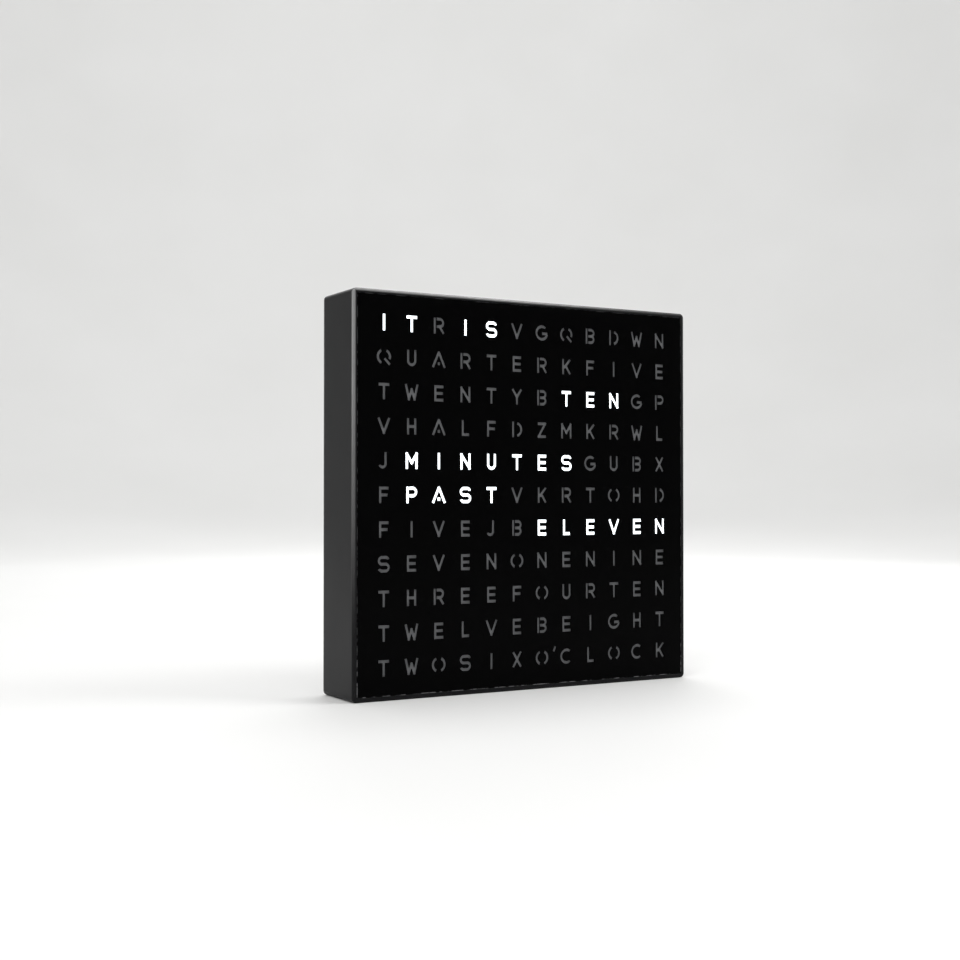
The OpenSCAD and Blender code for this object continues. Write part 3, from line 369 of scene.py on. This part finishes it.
def makeStage(s):
    # a round dish: a flat floor that bends up all round. A profile is turned about the upright axis
    angle = np.linspace(0, np.pi / 2, s["rise"])
    flat = s["flat"] * np.array(s["rings"])
    rim = s["flat"] + s["bend"]
    out = np.concatenate([flat, s["flat"] + s["bend"] * np.sin(angle), [rim]])
    up = np.concatenate([0 * flat, s["bend"] * (1 - np.cos(angle)), [s["height"]]])
    turn = np.linspace(0, 2 * np.pi, s["sides"], endpoint=False)
    across, deep = out[:, None] * np.cos(turn), out[:, None] * np.sin(turn)
    points = np.stack([across, deep, up[:, None] + 0 * turn], -1).reshape(-1, 3)
    floor = newPiece("floor", points, gridFaces(len(out), s["sides"], closed=True))
    paper = Finish("palePaper")
    dress(paper.done({
        "Base Color": paper.blend(paper.noise(s["mottle"], detail=2), *s["paper"]),
        "Roughness": s["roughness"],
        "Normal": paper.bump(paper.noise(s["fibre"], detail=2), s["fibreDepth"]),
    }), floor)


makeCamera(cameraSetup)
makeLights(lightSetup)
makeStage(stageSetup)
print("camera, lights and stage")


letterField = {
    "pitchX": 13.62 * mm, "pitchZ": 15.13 * mm, "middle": 90 * mm, "columns": 12, "rows": 11,
    # words that are lit: row, first and last column, counted from 1 at the upper left
    "lit": [(1, 1, 2), (1, 4, 5), (3, 8, 10), (5, 2, 8), (6, 2, 5), (7, 7, 12)],
}
diffuserSetup = {
    "greys": ((0.100, 0.103, 0.108), (0.136, 0.139, 0.145)), "cloud": 45.0,
    "litBody": (0.7, 0.72, 0.74), "unlit": (0.0, 0.0, 0.0), "lampLight": (0.90, 0.965, 1.0),
    "lampPower": 2.5, "fall": 0.9,
    "sheen": 0.55, "grain": 2600.0, "grainSheen": 0.12, "grainDepth": 0.03 * mm,
}


def litMask(finish, field):
    # 1 in the cells of the lit words, 0 elsewhere: a sum of rectangles, one a word
    mask = 0.0
    for row, first, last in field["lit"]:
        left = (first - 1 - field["columns"] / 2) * field["pitchX"]
        right = (last - field["columns"] / 2) * field["pitchX"]
        low = field["middle"] + (field["rows"] / 2 - row) * field["pitchZ"]
        across = finish.between(finish.x, left, right)
        mask = across * finish.between(finish.z, low, low + field["pitchZ"]) + mask
    return mask


def cellSpot(finish, field):
    # place in the letter's cell, from its middle, in metres
    low = field["middle"] - field["pitchZ"] / 2
    along = finish.fromMiddle(finish.x, field["pitchX"])
    return along, finish.fromMiddle(finish.z - low, field["pitchZ"])


def diffuserFinish(s, field):
    # grey sheet that glows behind a lit word: 1 - fall * squared distance to the lamp in cells
    sheet = Finish("lightDiffuser")
    mask = litMask(sheet, field)
    u, v = cellSpot(sheet, field)
    near = 1 - s["fall"] / field["pitchZ"] ** 2 * (u * u + v * v)
    grain = sheet.noise(s["grain"])
    grey = sheet.blend(sheet.noise(s["cloud"], detail=2), *s["greys"])
    return sheet.done({
        "Base Color": sheet.blend(mask, grey, s["litBody"]),
        "Roughness": s["sheen"] + s["grainSheen"] * grain,
        "Emission Color": sheet.blend(mask * near, s["unlit"], s["lampLight"]),
        "Emission Strength": s["lampPower"],
        "Normal": sheet.bump(grain, s["grainDepth"]),
    })


panelSetup = {
    "halfX": 87.85 * mm, "halfZ": 87.85 * mm, "middleZ": 90 * mm,
    "black": (0.0006, 0.0006, 0.0007), "gloss": 0.024, "sheen": 0.16,
    # the pale cut edge, with a painted highlight line on it: broken into dashes, and fading from
    # the bottom up
    "cut": 0.22 * mm, "cutColour": (0.19, 0.19, 0.195), "highlightDashes": 330.0, "highlightDashStep": (0.44, 0.60),
    "highlightFade": 0.8, "highlightFadeFrom": 3 * mm, "highlightFadeTo": 30 * mm,
    "dust": (0.02, 0.02, 0.02), "dustScale": 3200.0, "dustStep": (0.74, 0.80),
    "dustShare": 0.3, "dustSheen": 0.2,
    "smear": 26.0, "smearStretch": (1.0, 1.0, 0.35), "smearTurn": (0.0, 0.5, 0.0),
    "smearSheen": 0.12,
    "wave": 14.0, "waveDepth": 0.3 * mm, "waveStrength": 0.15,
}


def panelFinish(s):
    # near-black gloss sheet with faint smears and dust. Its cut edge is paler and carries a painted
    # highlight line, in dashes, brightest at the bottom
    sheet = Finish("blackPanel")
    past = (abs(sheet.x) - s["halfX"]).most(abs(sheet.z - s["middleZ"]) - s["halfZ"])
    highlightDashes = sheet.soft(sheet.noise(s["highlightDashes"], detail=2, rough=0.6), *s["highlightDashStep"])
    highlightFade = 1 - s["highlightFade"] * sheet.soft(sheet.z, s["highlightFadeFrom"], s["highlightFadeTo"])
    # painted highlight: a pale line along the cut edge, broken into dashes and fading towards the
    # top
    cut = (past > -s["cut"]) * highlightDashes * highlightFade
    streaks = sheet.stretched(s["smearStretch"], s["smearTurn"])
    smear = sheet.noise(s["smear"], detail=3, rough=0.6, spot=streaks)
    dust = sheet.soft(sheet.noise(s["dustScale"], detail=2), *s["dustStep"])
    black = sheet.blend(dust * s["dustShare"], s["black"], s["dust"])
    return sheet.done({
        "Base Color": sheet.blend(cut, black, s["cutColour"]),
        "Roughness": s["sheen"] + s["smearSheen"] * smear + s["dustSheen"] * dust,
        "Specular IOR Level": s["gloss"],
        "Normal": sheet.bump(
            sheet.noise(s["wave"], detail=1), s["waveDepth"], s["waveStrength"]),
    })


dress(diffuserFinish(diffuserSetup, letterField), "diffuser")
dress(panelFinish(panelSetup), "front_panel")
print("letter field")


caseSize = {"halfX": 90 * mm, "halfY": 16 * mm, "middleZ": 90 * mm, "halfZ": 90 * mm}
# edge wear and a painted highlight on the rounded rim: a paler colour and a coat, brightest at the
# top and the left, where the light falls
edgeWearAndHighlight = {
    "from": -1.6 * mm, "to": -0.85 * mm,  # nearness to an edge at which it starts and is full
    "low": 20 * mm, "high": 176 * mm,     # it grows from the foot to the top
    "left": -40 * mm, "right": 85 * mm,   # and is weaker towards the right
    "highlightFade": 0.85,                         # by this share
    "even": 0.6, "uneven": 0.4,           # shares of it that are even, and patchy as the scuffs are
    "factor": 2, "lift": 0.20,            # worn and highlit colour = resin * factor + lift
    "smoother": 0.08, "coatRoughness": 0.2, "coatIor": 1.9,
}
skinSetup = {
    "mottle": 38.0, "mottleSheen": 0.10,
    "scuff": 160.0, "scuffStretch": (1.0, 1.0, 0.2), "scuffSheen": 0.05,
    "peaks": (0.46, 0.62), "peaksSheen": 0.05,  # the grain's tips are paler: partly rubbed, partly a painted highlight on the grain
    "factor": 1.5, "lift": 0.004,               # paler colour = resin * factor + lift
    "range": 1.5, "grainStrength": 0.7,         # range: mottle and peaks together, at their most
}
plastics = {
    # colour of the resin, roughness, specular level, share of edge wear and painted highlight,
    # and the grain: its scale, depth and how much its tips show
    "casePlastic": {"base": (0.0036, 0.0036, 0.0041), "sheen": 0.30, "gloss": 0.11, "wearAndHighlight": 1.0,
                    "grain": 2000.0, "depth": 0.04 * mm, "speckle": 0.15},
    "coverPlastic": {"base": (0.008, 0.008, 0.0086), "sheen": 0.40, "gloss": 0.34, "wearAndHighlight": 0.6,
                     "grain": 1100.0, "depth": 0.22 * mm, "speckle": 0.9},
    "rockerPlastic": {"base": (0.010, 0.010, 0.011), "sheen": 0.20, "gloss": 0.5, "wearAndHighlight": 0,
                      "grain": 1800.0, "depth": 0.008 * mm, "speckle": 0.1},
    "buttonPlastic": {"base": (0.045, 0.047, 0.052), "sheen": 0.42, "gloss": 0.3, "wearAndHighlight": 0,
                      "grain": 1600.0, "depth": 0.04 * mm, "speckle": 0.4},
    "switchNylon": {"base": (0.013, 0.013, 0.014), "sheen": 0.5, "gloss": 0.3, "wearAndHighlight": 0,
                    "grain": 1200.0, "depth": 0.04 * mm, "speckle": 0.3},
    "plungerIvory": {"base": (0.62, 0.60, 0.53), "sheen": 0.4, "gloss": 0.3, "wearAndHighlight": 0,
                     "grain": 1500.0, "depth": 0.02 * mm, "speckle": 0.1},
}


def edgeNearness(finish, size):
    # 0 on an outer edge and less further in: the largest sum of two distances past the faces
    dx = abs(finish.x) - size["halfX"]
    dy = abs(finish.y) - size["halfY"]
    dz = abs(finish.z - size["middleZ"]) - size["halfZ"]
    return (dx + dy).most(dy + dz).most(dx + dz)


def edgePolishAndHighlight(finish, scuff, share):
    # handling has worn the outer edges, and a highlight is painted on them, brightest on the upper
    # left ones where the light falls
    w = edgeWearAndHighlight
    edge = finish.soft(edgeNearness(finish, caseSize), w["from"], w["to"])
    wornAndHighlitEdge = edge * (w["even"] + w["uneven"] * scuff)
    polishAndHighlight = wornAndHighlitEdge * finish.soft(finish.z, w["low"], w["high"]) * share
    return polishAndHighlight * (1 - w["highlightFade"] * finish.soft(finish.x, w["left"], w["right"]))


def plasticFinish(name):
    # fine eroded grain with its tips painted paler, and a slow mottle and light scuffs in the gloss
    s, k, w = plastics[name], skinSetup, edgeWearAndHighlight
    skin = Finish(name)
    mottle = skin.noise(k["mottle"])
    streaks = skin.stretched(k["scuffStretch"])
    scuff = skin.noise(k["scuff"], detail=4, rough=0.65, spot=streaks)
    grain = skin.noise(s["grain"], detail=4, rough=0.6)
    # painted highlight on the grain's relief, with some rubbing: the tips of the bump noise get the
    # paler colour
    peaks = skin.soft(grain, *k["peaks"]) * s["speckle"]
    paler = shaded(s["base"], k["factor"], k["lift"])
    colour = skin.blend((mottle + peaks) / k["range"], s["base"], paler)
    roughness = s["sheen"] + k["mottleSheen"] * mottle + k["scuffSheen"] * scuff
    roughness = roughness - k["peaksSheen"] * peaks
    # edge wear and painted highlight: a paler colour and a coat on the rim
    if s["wearAndHighlight"]:
        polishAndHighlight = edgePolishAndHighlight(skin, scuff, s["wearAndHighlight"])
        colour = skin.blend(polishAndHighlight, colour, shaded(s["base"], w["factor"], w["lift"]))
        roughness = roughness - w["smoother"] * polishAndHighlight
        skin.done({
            "Coat Weight": polishAndHighlight,
            "Coat Roughness": w["coatRoughness"],
            "Coat IOR": w["coatIor"],
        })
    return skin.done({
        "Base Color": colour,
        "Roughness": roughness,
        "Specular IOR Level": s["gloss"],
        "Normal": skin.bump(grain, s["depth"], k["grainStrength"]),
    })


dress(plasticFinish("casePlastic"), "housing")
dress(plasticFinish("coverPlastic"), "rear_cover", "battery_door")
dress(plasticFinish("rockerPlastic"), "switch_rocker")
dress(plasticFinish("buttonPlastic"), "hour_button", "minute_button")
dress(plasticFinish("switchNylon"), "switch_body", "usb_tongue", "header_socket")
dress(plasticFinish("plungerIvory"), "hour_plunger", "minute_plunger")
print("case, cover, door, switch and buttons")


metalSetup = {
    "lines": 1800.0, "lineShare": 0.6, "lineSheen": 0.16, "lineDepth": 0.01 * mm,
    "spots": 420.0, "spotStep": (0.58, 0.72), "spotShare": 0.4, "spotSheen": 0.14,
    "darker": 0.75,  # factor of the colour where it is dull
}
metals = {
    # colour, roughness, and the stretch of the streaks along x, y and z
    "zincSteel": {"base": (0.66, 0.67, 0.69), "sheen": 0.26, "streak": (1.0, 1.0, 1.0)},
    "blackOxide": {"base": (0.10, 0.10, 0.108), "sheen": 0.34, "streak": (1.0, 1.0, 1.0)},
    "nickelSheet": {"base": (0.72, 0.70, 0.66), "sheen": 0.22, "streak": (1.0, 1.0, 0.08)},
    "tinnedBrass": {"base": (0.80, 0.62, 0.30), "sheen": 0.24, "streak": (0.1, 1.0, 1.0)},
    "canSteel": {"base": (0.70, 0.71, 0.73), "sheen": 0.20, "streak": (1.0, 1.0, 0.1)},
    "springSteel": {"base": (0.74, 0.73, 0.70), "sheen": 0.20, "streak": (0.2, 1.0, 1.0)},
    "solder": {"base": (0.70, 0.71, 0.73), "sheen": 0.18, "streak": (1.0, 1.0, 1.0)},
}


def metalFinish(name):
    # drawn or plated metal: fine streaks along the working direction, a few dull spots
    s, k = metals[name], metalSetup
    skin = Finish(name)
    lines = skin.noise(k["lines"], detail=3, rough=0.6, spot=skin.stretched(s["streak"]))
    spots = skin.soft(skin.noise(k["spots"]), *k["spotStep"])
    dull = lines * k["lineShare"] + spots * k["spotShare"]
    return skin.done({
        "Base Color": skin.blend(dull, s["base"], shaded(s["base"], k["darker"])),
        "Metallic": 1.0,
        "Roughness": s["sheen"] + k["lineSheen"] * lines + k["spotSheen"] * spots,
        "Normal": skin.bump(lines, k["lineDepth"]),
    })


dress(metalFinish("zincSteel"), "board_screws", "control_screws")
dress(metalFinish("blackOxide"), "cover_screws")
dress(metalFinish("nickelSheet"), "contact_plates", "usb_socket")
dress(metalFinish("tinnedBrass"), "switch_terminals")
dress(metalFinish("canSteel"), "clock_crystal")
print("screws and sheet metal")


springSetup = {
    # mm; sideOf is the end of the bay that each cell's spring stands at
    "turns": 5, "wideRadius": 4.4, "tipRadius": 2.6, "length": 5.6, "wire": 0.55, "endShare": 0.75,
    "sides": 12, "steps": 28, "up": (1.0, 0.0, 0.0),
    "seatX": 28.4, "cellY": 6.85, "cellZ": (31.1, 46.0, 60.9), "sideOf": (-1, 1, -1),
}


def springPath(s):
    # cone helix: the radius falls evenly from seat to tip while the wire climbs at a steady rate
    share = np.linspace(0, 1, s["steps"] * s["turns"] + 1)
    angle = 2 * np.pi * s["turns"] * share
    radius = s["wideRadius"] + (s["tipRadius"] - s["wideRadius"]) * share
    climb = s["wire"] / 2 + (s["length"] - s["wire"]) * share
    return np.stack([climb, radius * np.cos(angle), radius * np.sin(angle)], 1)


def wireRadii(count, radius, endShare):
    # one radius for each point of a wire, smaller at its two ends
    thick = np.full(count, radius * mm)
    thick[[0, -1]] *= endShare
    return thick


def makeSprings(s):
    coil = springPath(s)
    thick = wireRadii(len(coil), s["wire"] / 2, s["endShare"])
    parts = []
    for side, z in zip(s["sideOf"], s["cellZ"]):
        flip = np.array([-side, -side, 1])  # half a turn about the upright axis at the right end
        path = (coil * flip + np.array([side * s["seatX"], s["cellY"], z])) * mm
        parts.append(tubeAlong(path, thick, s["sides"], s["up"]))
    coils = newPiece("coil_springs", *joined(parts))
    dress(metalFinish("springSteel"), fitted(coils, "case", "battery_springs"))


makeSprings(springSetup)
print("battery springs")


wireSetup = {
    # mm; the routes are those of the CAD
    "radius": 0.8, "endShare": 0.8, "sides": 14, "steps": 8, "up": (0.0, 1.0, 0.3),
    "minus": [(34.55, 2.85, 31.1), (37.45, 2.85, 31.1), (40.45, 0.85, 31.6),
              (43.45, 2.2, 33.1), (54.4, 2.0, 34.1), (57.4, 2.6, 35.1)],
    "plus": [(-34.55, 2.85, 60.9), (-37.45, 2.85, 60.9), (-39.45, 1.85, 63.9),
             (-38.45, 0.85, 69.9), (-34.45, -0.15, 75.55), (-26.45, -0.15, 76.55),
             (0.0, -0.15, 76.55), (30.45, -0.15, 76.55), (38.45, -0.15, 72.55),
             (43.45, 2.2, 54.0), (48.45, 2.0, 50.0), (57.4, 2.6, 49.0)],
    "terminal": (66.4, 4.8, 75.6), "terminalPitch": 7, "padX": 65.4, "padPitch": 3,
    # a switch wire leaves its terminal by these steps, hangs half way down to the board, and
    # passes the board's top at these depths and heights
    "leave": [(0, 0, 0), (-3, 0, 0), (-5, 0, -3)], "hang": (-5, 2),
    "boardTop": 60, "pass": [(9.6, 3), (9.0, -1), (7.0, -4)],
}
pvcSetup = {
    "black": (0.012, 0.012, 0.013), "red": (0.42, 0.012, 0.01), "darker": 0.7,
    "sheen": 0.34, "ripple": 500.0, "stretch": (0.25, 1.0, 1.0), "rippleSheen": 0.14,
    "rippleDepth": 0.03 * mm,
}


def switchRoute(s, i):
    # from terminal i of the side switch down to the rear of the control board
    x, y, z = s["terminal"]
    z += s["terminalPitch"] * i
    endX, top = s["padX"] + s["padPitch"] * i, s["boardTop"]
    aside, back = s["hang"]
    start = [(x + dx, y + dy, z + dz) for dx, dy, dz in s["leave"]]
    middle = (x + aside, y + back, (z + top) / 2)
    return start + [middle] + [(endX, depth, top + over) for depth, over in s["pass"]]


def pvcFinish(name, base):
    # smooth sleeve with a faint ripple
    s = pvcSetup
    skin = Finish(name)
    ripple = skin.noise(s["ripple"], detail=2, rough=0.5, spot=skin.stretched(s["stretch"]))
    return skin.done({
        "Base Color": skin.blend(ripple, base, shaded(base, s["darker"])),
        "Roughness": s["sheen"] + s["rippleSheen"] * ripple,
        "Normal": skin.bump(ripple, s["rippleDepth"]),
    })


def makeWire(name, route, node, material):
    s = wireSetup
    path = smoothRoute(route, s["steps"]) * mm
    thick = wireRadii(len(path), s["radius"], s["endShare"])
    piece = newPiece(name, *tubeAlong(path, thick, s["sides"], s["up"]))
    dress(material, fitted(piece, "case", node))


blackPvc = pvcFinish("blackWire", pvcSetup["black"])
redPvc = pvcFinish("redWire", pvcSetup["red"])
makeWire("battery_wire_red", wireSetup["plus"], "battery_leads", redPvc)
makeWire("battery_wire_black", wireSetup["minus"], "battery_leads", blackPvc)
makeWire("switch_wire_low", switchRoute(wireSetup, -1), "switch_leads", blackPvc)
makeWire("switch_wire_high", switchRoute(wireSetup, 1), "switch_leads", blackPvc)
print("wires")


boardSetup = {
    "mask": ((0.010, 0.085, 0.035), (0.014, 0.105, 0.045)), "sheen": 0.3,
    "weave": 900.0, "weaveSheen": 0.1, "weaveHeight": 0.3,
    "track": 1.27 * mm, "trackHalf": 0.22 * mm,
    "trackColour": (0.03, 0.19, 0.075), "trackShare": 0.7,
    "via": 2.54 * mm, "viaRadius": 0.42 * mm, "gold": (0.75, 0.6, 0.32), "goldMetal": 0.9,
    "areas": 60.0, "alongX": 0.53, "alongZ": 0.46, "viaArea": (0.50, 0.535),  # of the area noise
    "depth": 0.05 * mm, "strength": 0.6,
}


def boardFinish(s):
    # green mask over copper: tracks along x or z as a coarse noise decides, vias between the two
    board = Finish("greenBoard")
    area = board.noise(s["areas"], detail=1)
    acrossZ = abs(board.fromMiddle(board.z, s["track"])) < s["trackHalf"]
    alongX = acrossZ * (area > s["alongX"])
    acrossX = abs(board.fromMiddle(board.x, s["track"])) < s["trackHalf"]
    alongZ = acrossX * (area < s["alongZ"])
    tracks = alongX.most(alongZ)
    u, v = board.fromMiddle(board.x, s["via"]), board.fromMiddle(board.z, s["via"])
    vias = (u * u + v * v < s["viaRadius"] ** 2) * board.between(area, *s["viaArea"])
    weave = board.noise(s["weave"], detail=2)
    green = board.blend(weave, *s["mask"])
    mask = board.blend(tracks * s["trackShare"], green, s["trackColour"])
    return board.done({
        "Base Color": board.blend(vias, mask, s["gold"]),
        "Metallic": vias * s["goldMetal"],
        "Roughness": s["sheen"] + s["weaveSheen"] * weave,
        "Normal": board.bump(tracks + s["weaveHeight"] * weave, s["depth"], s["strength"]),
    })


lampSetup = {
    "body": (0.82, 0.81, 0.77), "sheen": 0.45, "speck": 2400.0, "speckSheen": 0.1,
    "window": (0.86, 0.62, 0.10), "radius": 1.75 * mm, "inner": 0.94, "outer": 1.1,
    "windowSheen": 0.25, "depth": 0.04 * mm,
}


def lampFinish(s, field):
    # white lamp body with a round yellow window in its middle
    lamp = Finish("lampBody")
    u, v = cellSpot(lamp, field)
    edge = s["radius"] ** 2
    window = 1 - lamp.soft(u * u + v * v, s["inner"] * edge, s["outer"] * edge)
    speck = lamp.noise(s["speck"], detail=2)
    return lamp.done({
        "Base Color": lamp.blend(window, s["body"], s["window"]),
        "Roughness": s["sheen"] - s["windowSheen"] * window + s["speckSheen"] * speck,
        "Normal": lamp.bump(speck - window, s["depth"]),
    })


# some bodies are of two materials: each of these five gives the mask of the second one
def legs(skin, s):  # what stands out past the long sides of a chip
    return abs(skin.z - s["middle"]) > s["half"]


def canFootAndMark(skin, s):  # the black foot, and the dark segment on the top of the can
    return (skin.y < s["foot"]).most((skin.y > s["top"]) * (skin.x < s["marked"]))


def endCaps(skin, s):  # the tinned ends of a resistor
    return abs(skin.fromMiddle(skin.x, s["pitch"])) > s["cap"]


def pinsBehindStrip(skin, s):
    return skin.y > s["strip"]


def pressedCover(skin, s):
    return skin.y > s["cover"]


epoxy, tin = (0.024, 0.024, 0.025), (0.78, 0.78, 0.80)
fleckSetup = {"scale": 2200.0, "share": 0.25, "sheen": 0.12, "depth": 0.02 * mm,
              "dark": (0.0, 0.0, 0.0)}
twoParts = {
    # CAD node: name of the finish, the mask and its measures, then the colours, the metal shares
    # and the roughness of the first and of the second material
    "controller_chip": {
        "name": "controllerChip", "second": legs, "middle": 128 * mm, "half": 4.45 * mm,
        "colours": (epoxy, tin), "metal": (0, 1), "sheen": (0.58, 0.30)},
    "driver_chips": {
        "name": "driverChip", "second": legs, "middle": 128 * mm, "half": 3.7 * mm,
        "colours": (epoxy, tin), "metal": (0, 1), "sheen": (0.58, 0.30)},
    "clock_chip": {
        "name": "clockChip", "second": legs, "middle": 106 * mm, "half": 1.95 * mm,
        "colours": (epoxy, tin), "metal": (0, 1), "sheen": (0.58, 0.30)},
    "capacitors": {
        "name": "capacitorCan", "second": canFootAndMark,
        "foot": -3.78 * mm, "top": 0.55 * mm, "marked": 56.6 * mm,
        "colours": ((0.74, 0.74, 0.75), (0.02, 0.02, 0.024)),
        "metal": (1, 0), "sheen": (0.26, 0.50)},
    "chip_resistors": {
        "name": "resistorBody", "second": endCaps, "pitch": 4 * mm, "cap": 0.65 * mm,
        "colours": ((0.02, 0.02, 0.022), (0.78, 0.78, 0.79)),
        "metal": (0, 1), "sheen": (0.34, 0.30)},
    "header_pins": {
        "name": "pinHeader", "second": pinsBehindStrip, "strip": -2.1 * mm,
        "colours": ((0.018, 0.018, 0.019), (0.88, 0.68, 0.29)),
        "metal": (0, 1), "sheen": (0.50, 0.26)},
    "set_switches": {
        "name": "setSwitchCase", "second": pressedCover, "cover": 8.4 * mm,
        "colours": ((0.020, 0.020, 0.021), (0.72, 0.72, 0.73)),
        "metal": (0, 1), "sheen": (0.54, 0.30)},
}


def twoPartFinish(s):
    # a fine fleck shades both materials and roughens them
    k = fleckSetup
    skin = Finish(s["name"])
    mask = s["second"](skin, s)
    fleck = skin.noise(k["scale"])
    firstMetal, secondMetal = s["metal"]
    firstSheen, secondSheen = s["sheen"]
    colour = skin.blend(mask, *s["colours"])
    return skin.done({
        "Base Color": skin.blend(k["share"] * fleck, colour, k["dark"]),
        "Metallic": firstMetal + (secondMetal - firstMetal) * mask,
        "Roughness": firstSheen + (secondSheen - firstSheen) * mask + k["sheen"] * fleck,
        "Normal": skin.bump(fleck, k["depth"]),
    })


tapeSetup = {
    "foam": (0.70, 0.69, 0.64), "pore": (0.52, 0.51, 0.46), "scale": 1900.0, "step": (0.55, 0.7),
    "sheen": 0.85, "depth": -0.08 * mm, "strength": 0.7,
}
gridSetup = {
    "white": (0.80, 0.80, 0.785), "yellowed": (0.74, 0.735, 0.70), "sheen": 0.42,
    "flow": 70.0, "flowStretch": (1.0, 1.0, 0.25), "flowSheen": 0.15,
    "grain": 1700.0, "grainDepth": 0.03 * mm,
}


def tapeFinish(s):
    # open foam: darker pores, sunk in
    foam = Finish("foamTape")
    pores = foam.soft(foam.noise(s["scale"]), *s["step"])
    return foam.done({
        "Base Color": foam.blend(pores, s["foam"], s["pore"]),
        "Roughness": s["sheen"],
        "Normal": foam.bump(pores, s["depth"], s["strength"]),
    })


def gridFinish(s):
    # white moulded light grid: faint flow marks and a slight yellowing
    grid = Finish("whiteGrid")
    flow = grid.noise(s["flow"], detail=3, rough=0.5, spot=grid.stretched(s["flowStretch"]))
    return grid.done({
        "Base Color": grid.blend(flow, s["white"], s["yellowed"]),
        "Roughness": s["sheen"] + s["flowSheen"] * flow,
        "Normal": grid.bump(grid.noise(s["grain"]), s["grainDepth"]),
    })


dress(boardFinish(boardSetup), "led_board", "control_board")
dress(lampFinish(lampSetup, letterField), "lamps")
for node, how in twoParts.items():
    dress(twoPartFinish(how), node)
dress(tapeFinish(tapeSetup), "panel_tape")
dress(gridFinish(gridSetup), "light_grid")
print("boards, lamps and chips")


solderSetup = {
    # mm; a bead is round at its foot and fuller than a half ball by the power
    "height": 1.5, "foot": 1.7, "fullness": 0.7, "tip": 0.02, "rings": 10, "sides": 20,
    # x, y of the board's face, z, and the side of the board that the bead stands on
    "beads": [(57.4, 4.0, 35.1, -1), (57.4, 4.0, 49.0, -1),
              (62.4, 5.6, 56.0, 1), (68.4, 5.6, 56.0, 1)],
}


def makeSolder(s):
    # a profile turned about its axis: radius = foot * cos(a) ^ fullness, climb = height * sin(a)
    a = np.linspace(0, np.pi / 2, s["rings"])[:, None]
    turn = np.linspace(0, 2 * np.pi, s["sides"], endpoint=False)[None, :]
    radius = s["foot"] * np.cos(a).clip(s["tip"], 1) ** s["fullness"]
    out, along = radius * np.cos(turn), radius * np.sin(turn)
    climb = s["height"] * np.sin(a) + 0 * turn
    parts = []
    for x, y, z, side in s["beads"]:
        parts.append(cappedGrid(np.stack([x + out, y + side * climb, z + along], -1) * mm))
    beads = newPiece("solder_beads", *joined(parts))
    dress(metalFinish("solder"), fitted(beads, "case"))


makeSolder(solderSetup)
print("solder")
